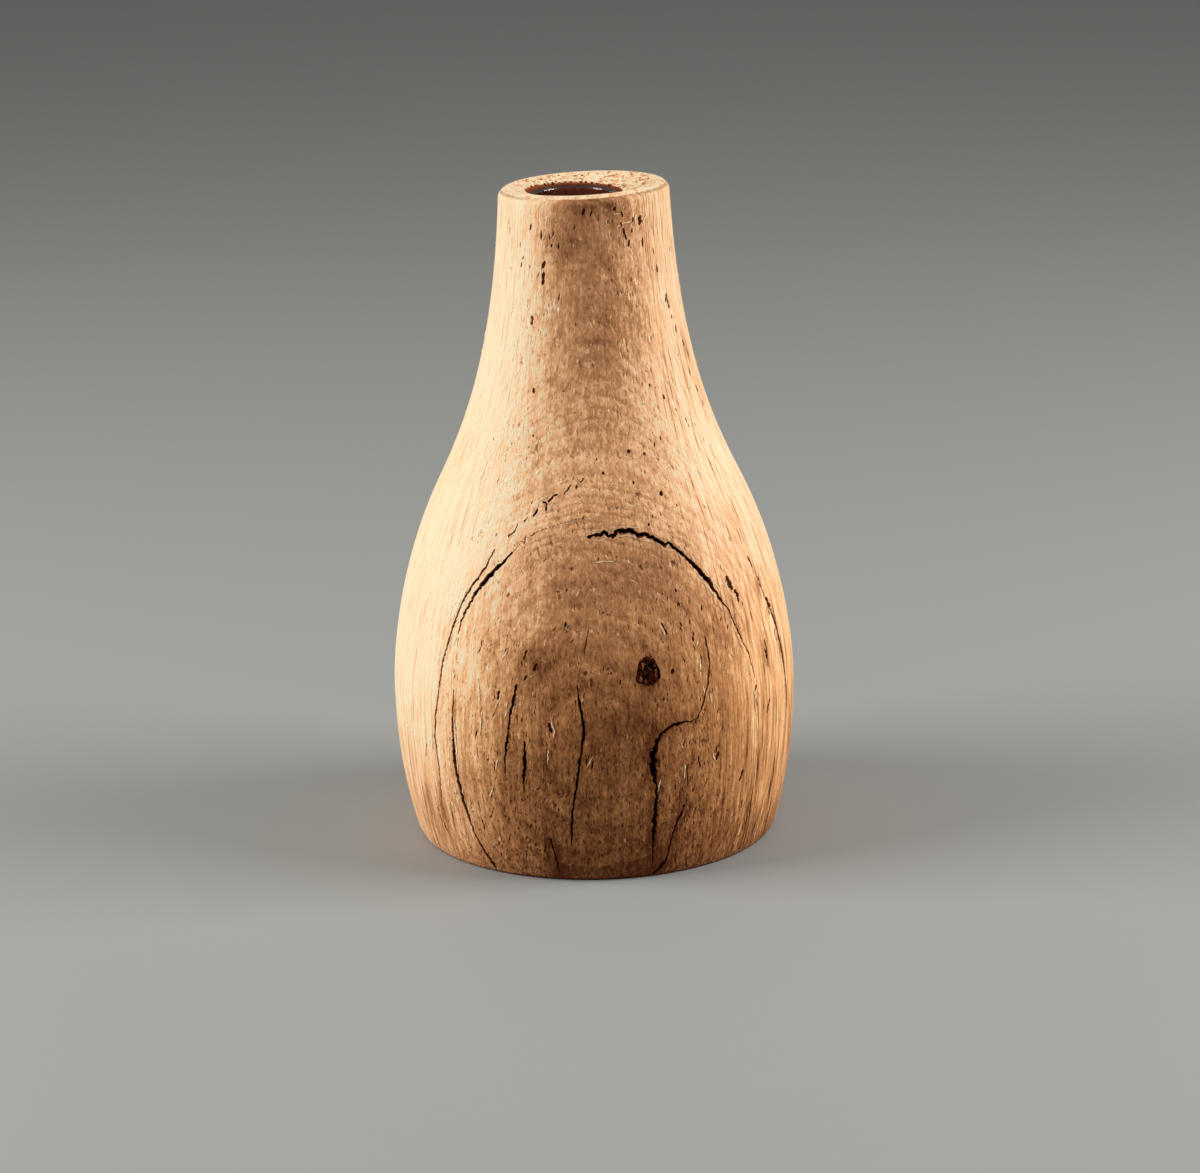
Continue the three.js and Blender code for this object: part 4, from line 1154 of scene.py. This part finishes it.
# the loose glass tube, in millimetres
tubeShape = {
    "radius": 8.0, "length": 100.0, "wall": 1.1, "seat": 18.9, "steps": 96, "roundPoints": 16, "lipPoints": 10,
    "clear": (0.95, 0.94, 0.98), "rim": (0.80, 0.66, 0.78), "groundAndGlint": (0.45, 0.1),  # the band from and to, below the top, that is ground and tinted as a painted highlight
    "roughRim": 0.4, "haze": 0.05, "hazeSize": (0.25, 3.0), "bending": 1.5, "smooth": 60,
}


def makeTube():
    t = tubeShape
    base = t["seat"] + t["radius"]
    lip = (t["radius"] - t["wall"] / 2, t["seat"] + t["length"] - t["wall"] / 2)
    outside = arc((0, base), t["radius"], -90, 0, t["roundPoints"])
    rim = arc(lip, t["wall"] / 2, 0, 180, t["lipPoints"])
    inside = arc((0, base), t["radius"] - t["wall"], 0, -90, t["roundPoints"])
    return spinProfile("glassTube", outside + rim + inside, t["steps"], vaseShape["boreOffset"])


def clearGlass():
    t = tubeShape
    material, tree, shader, place = startMaterial("clearGlass")
    height = wire(tree, "ShaderNodeSeparateXYZ", None, [place]).outputs[2]
    top = t["seat"] + t["length"]
    groundAndGlint = between(tree, height, *[top - below for below in t["groundAndGlint"]])  # the rim is ground and tinted lavender as a painted highlight, the rest is clear
    haze = calc(tree, "MULTIPLY", grainNoise(tree, place, *t["hazeSize"]).outputs[0], t["haze"])
    tree.links.new(blendColour(tree, groundAndGlint, t["clear"], t["rim"]), shader.inputs["Base Color"])
    tree.links.new(calc(tree, "MULTIPLY_ADD", groundAndGlint, t["roughRim"], haze), shader.inputs["Roughness"])
    shader.inputs["IOR"].default_value = t["bending"]
    shader.inputs["Transmission Weight"].default_value = 1.0
    return material


finishPiece(makeTube(), clearGlass(), "tube", "glass_tube", tubeShape["smooth"])

# pale floor, the light of the room, and a soft lamp at each side: place in metres, size and power
roomLook = {
    "floorSize": 8, "floor": (0.30, 0.30, 0.285, 1), "floorRough": 0.7, "light": (0.9, 0.9, 0.88, 1), "strength": 0.28,
    "aim": (0, 0, 0.055),
    "lamps": {"leftLamp": ((-0.72, -0.12, 0.46), 0.5, 7.5), "rightLamp": ((0.72, -0.1, 0.46), 0.5, 7.5)},
}
deselectAll()
bpy.ops.mesh.primitive_plane_add(size=roomLook["floorSize"])
floor = bpy.context.object
floor.name = "floor"
paint = bpy.data.materials.new("paleFloor")
paint.use_nodes = True
paint.node_tree.nodes["Principled BSDF"].inputs["Base Color"].default_value = roomLook["floor"]
paint.node_tree.nodes["Principled BSDF"].inputs["Roughness"].default_value = roomLook["floorRough"]
floor.data.materials.append(paint)

for name, (place, size, power) in roomLook["lamps"].items():
    deselectAll()
    bpy.ops.object.light_add(type="AREA", location=place)
    light = bpy.context.object
    light.name = name
    light.data.energy = power
    light.data.size = size
    aim = Vector(roomLook["aim"]) - Vector(place)
    light.rotation_euler = aim.to_track_quat("-Z", "Y").to_euler()

world = bpy.data.worlds.new("room")
world.use_nodes = True
world.node_tree.nodes["Background"].inputs["Color"].default_value = roomLook["light"]
world.node_tree.nodes["Background"].inputs["Strength"].default_value = roomLook["strength"]
bpy.context.scene.world = world
print("floor and lamps placed")

# camera at the photograph's angle, in millimetres and degrees
cameraView = {
    "target": (1.4463, 0, 45.495), "distance": 664.755, "down": 15.5447, "roll": -1.2083, "lens": 108.06, "sensor": 36}
down = math.radians(cameraView["down"])
eye = Vector(cameraView["target"]) + cameraView["distance"] * Vector((0, -math.cos(down), math.sin(down)))
turn = Matrix.Rotation(math.pi / 2 - down, 4, "X") @ Matrix.Rotation(math.radians(cameraView["roll"]), 4, "Z")
deselectAll()
bpy.ops.object.camera_add(location=eye * mm, rotation=turn.to_euler())
camera = bpy.context.object
camera.data.sensor_width = cameraView["sensor"]
camera.data.sensor_fit = "HORIZONTAL"
camera.data.lens = cameraView["lens"]
bpy.context.scene.camera = camera
bpy.context.scene.view_settings.view_transform = "Standard"
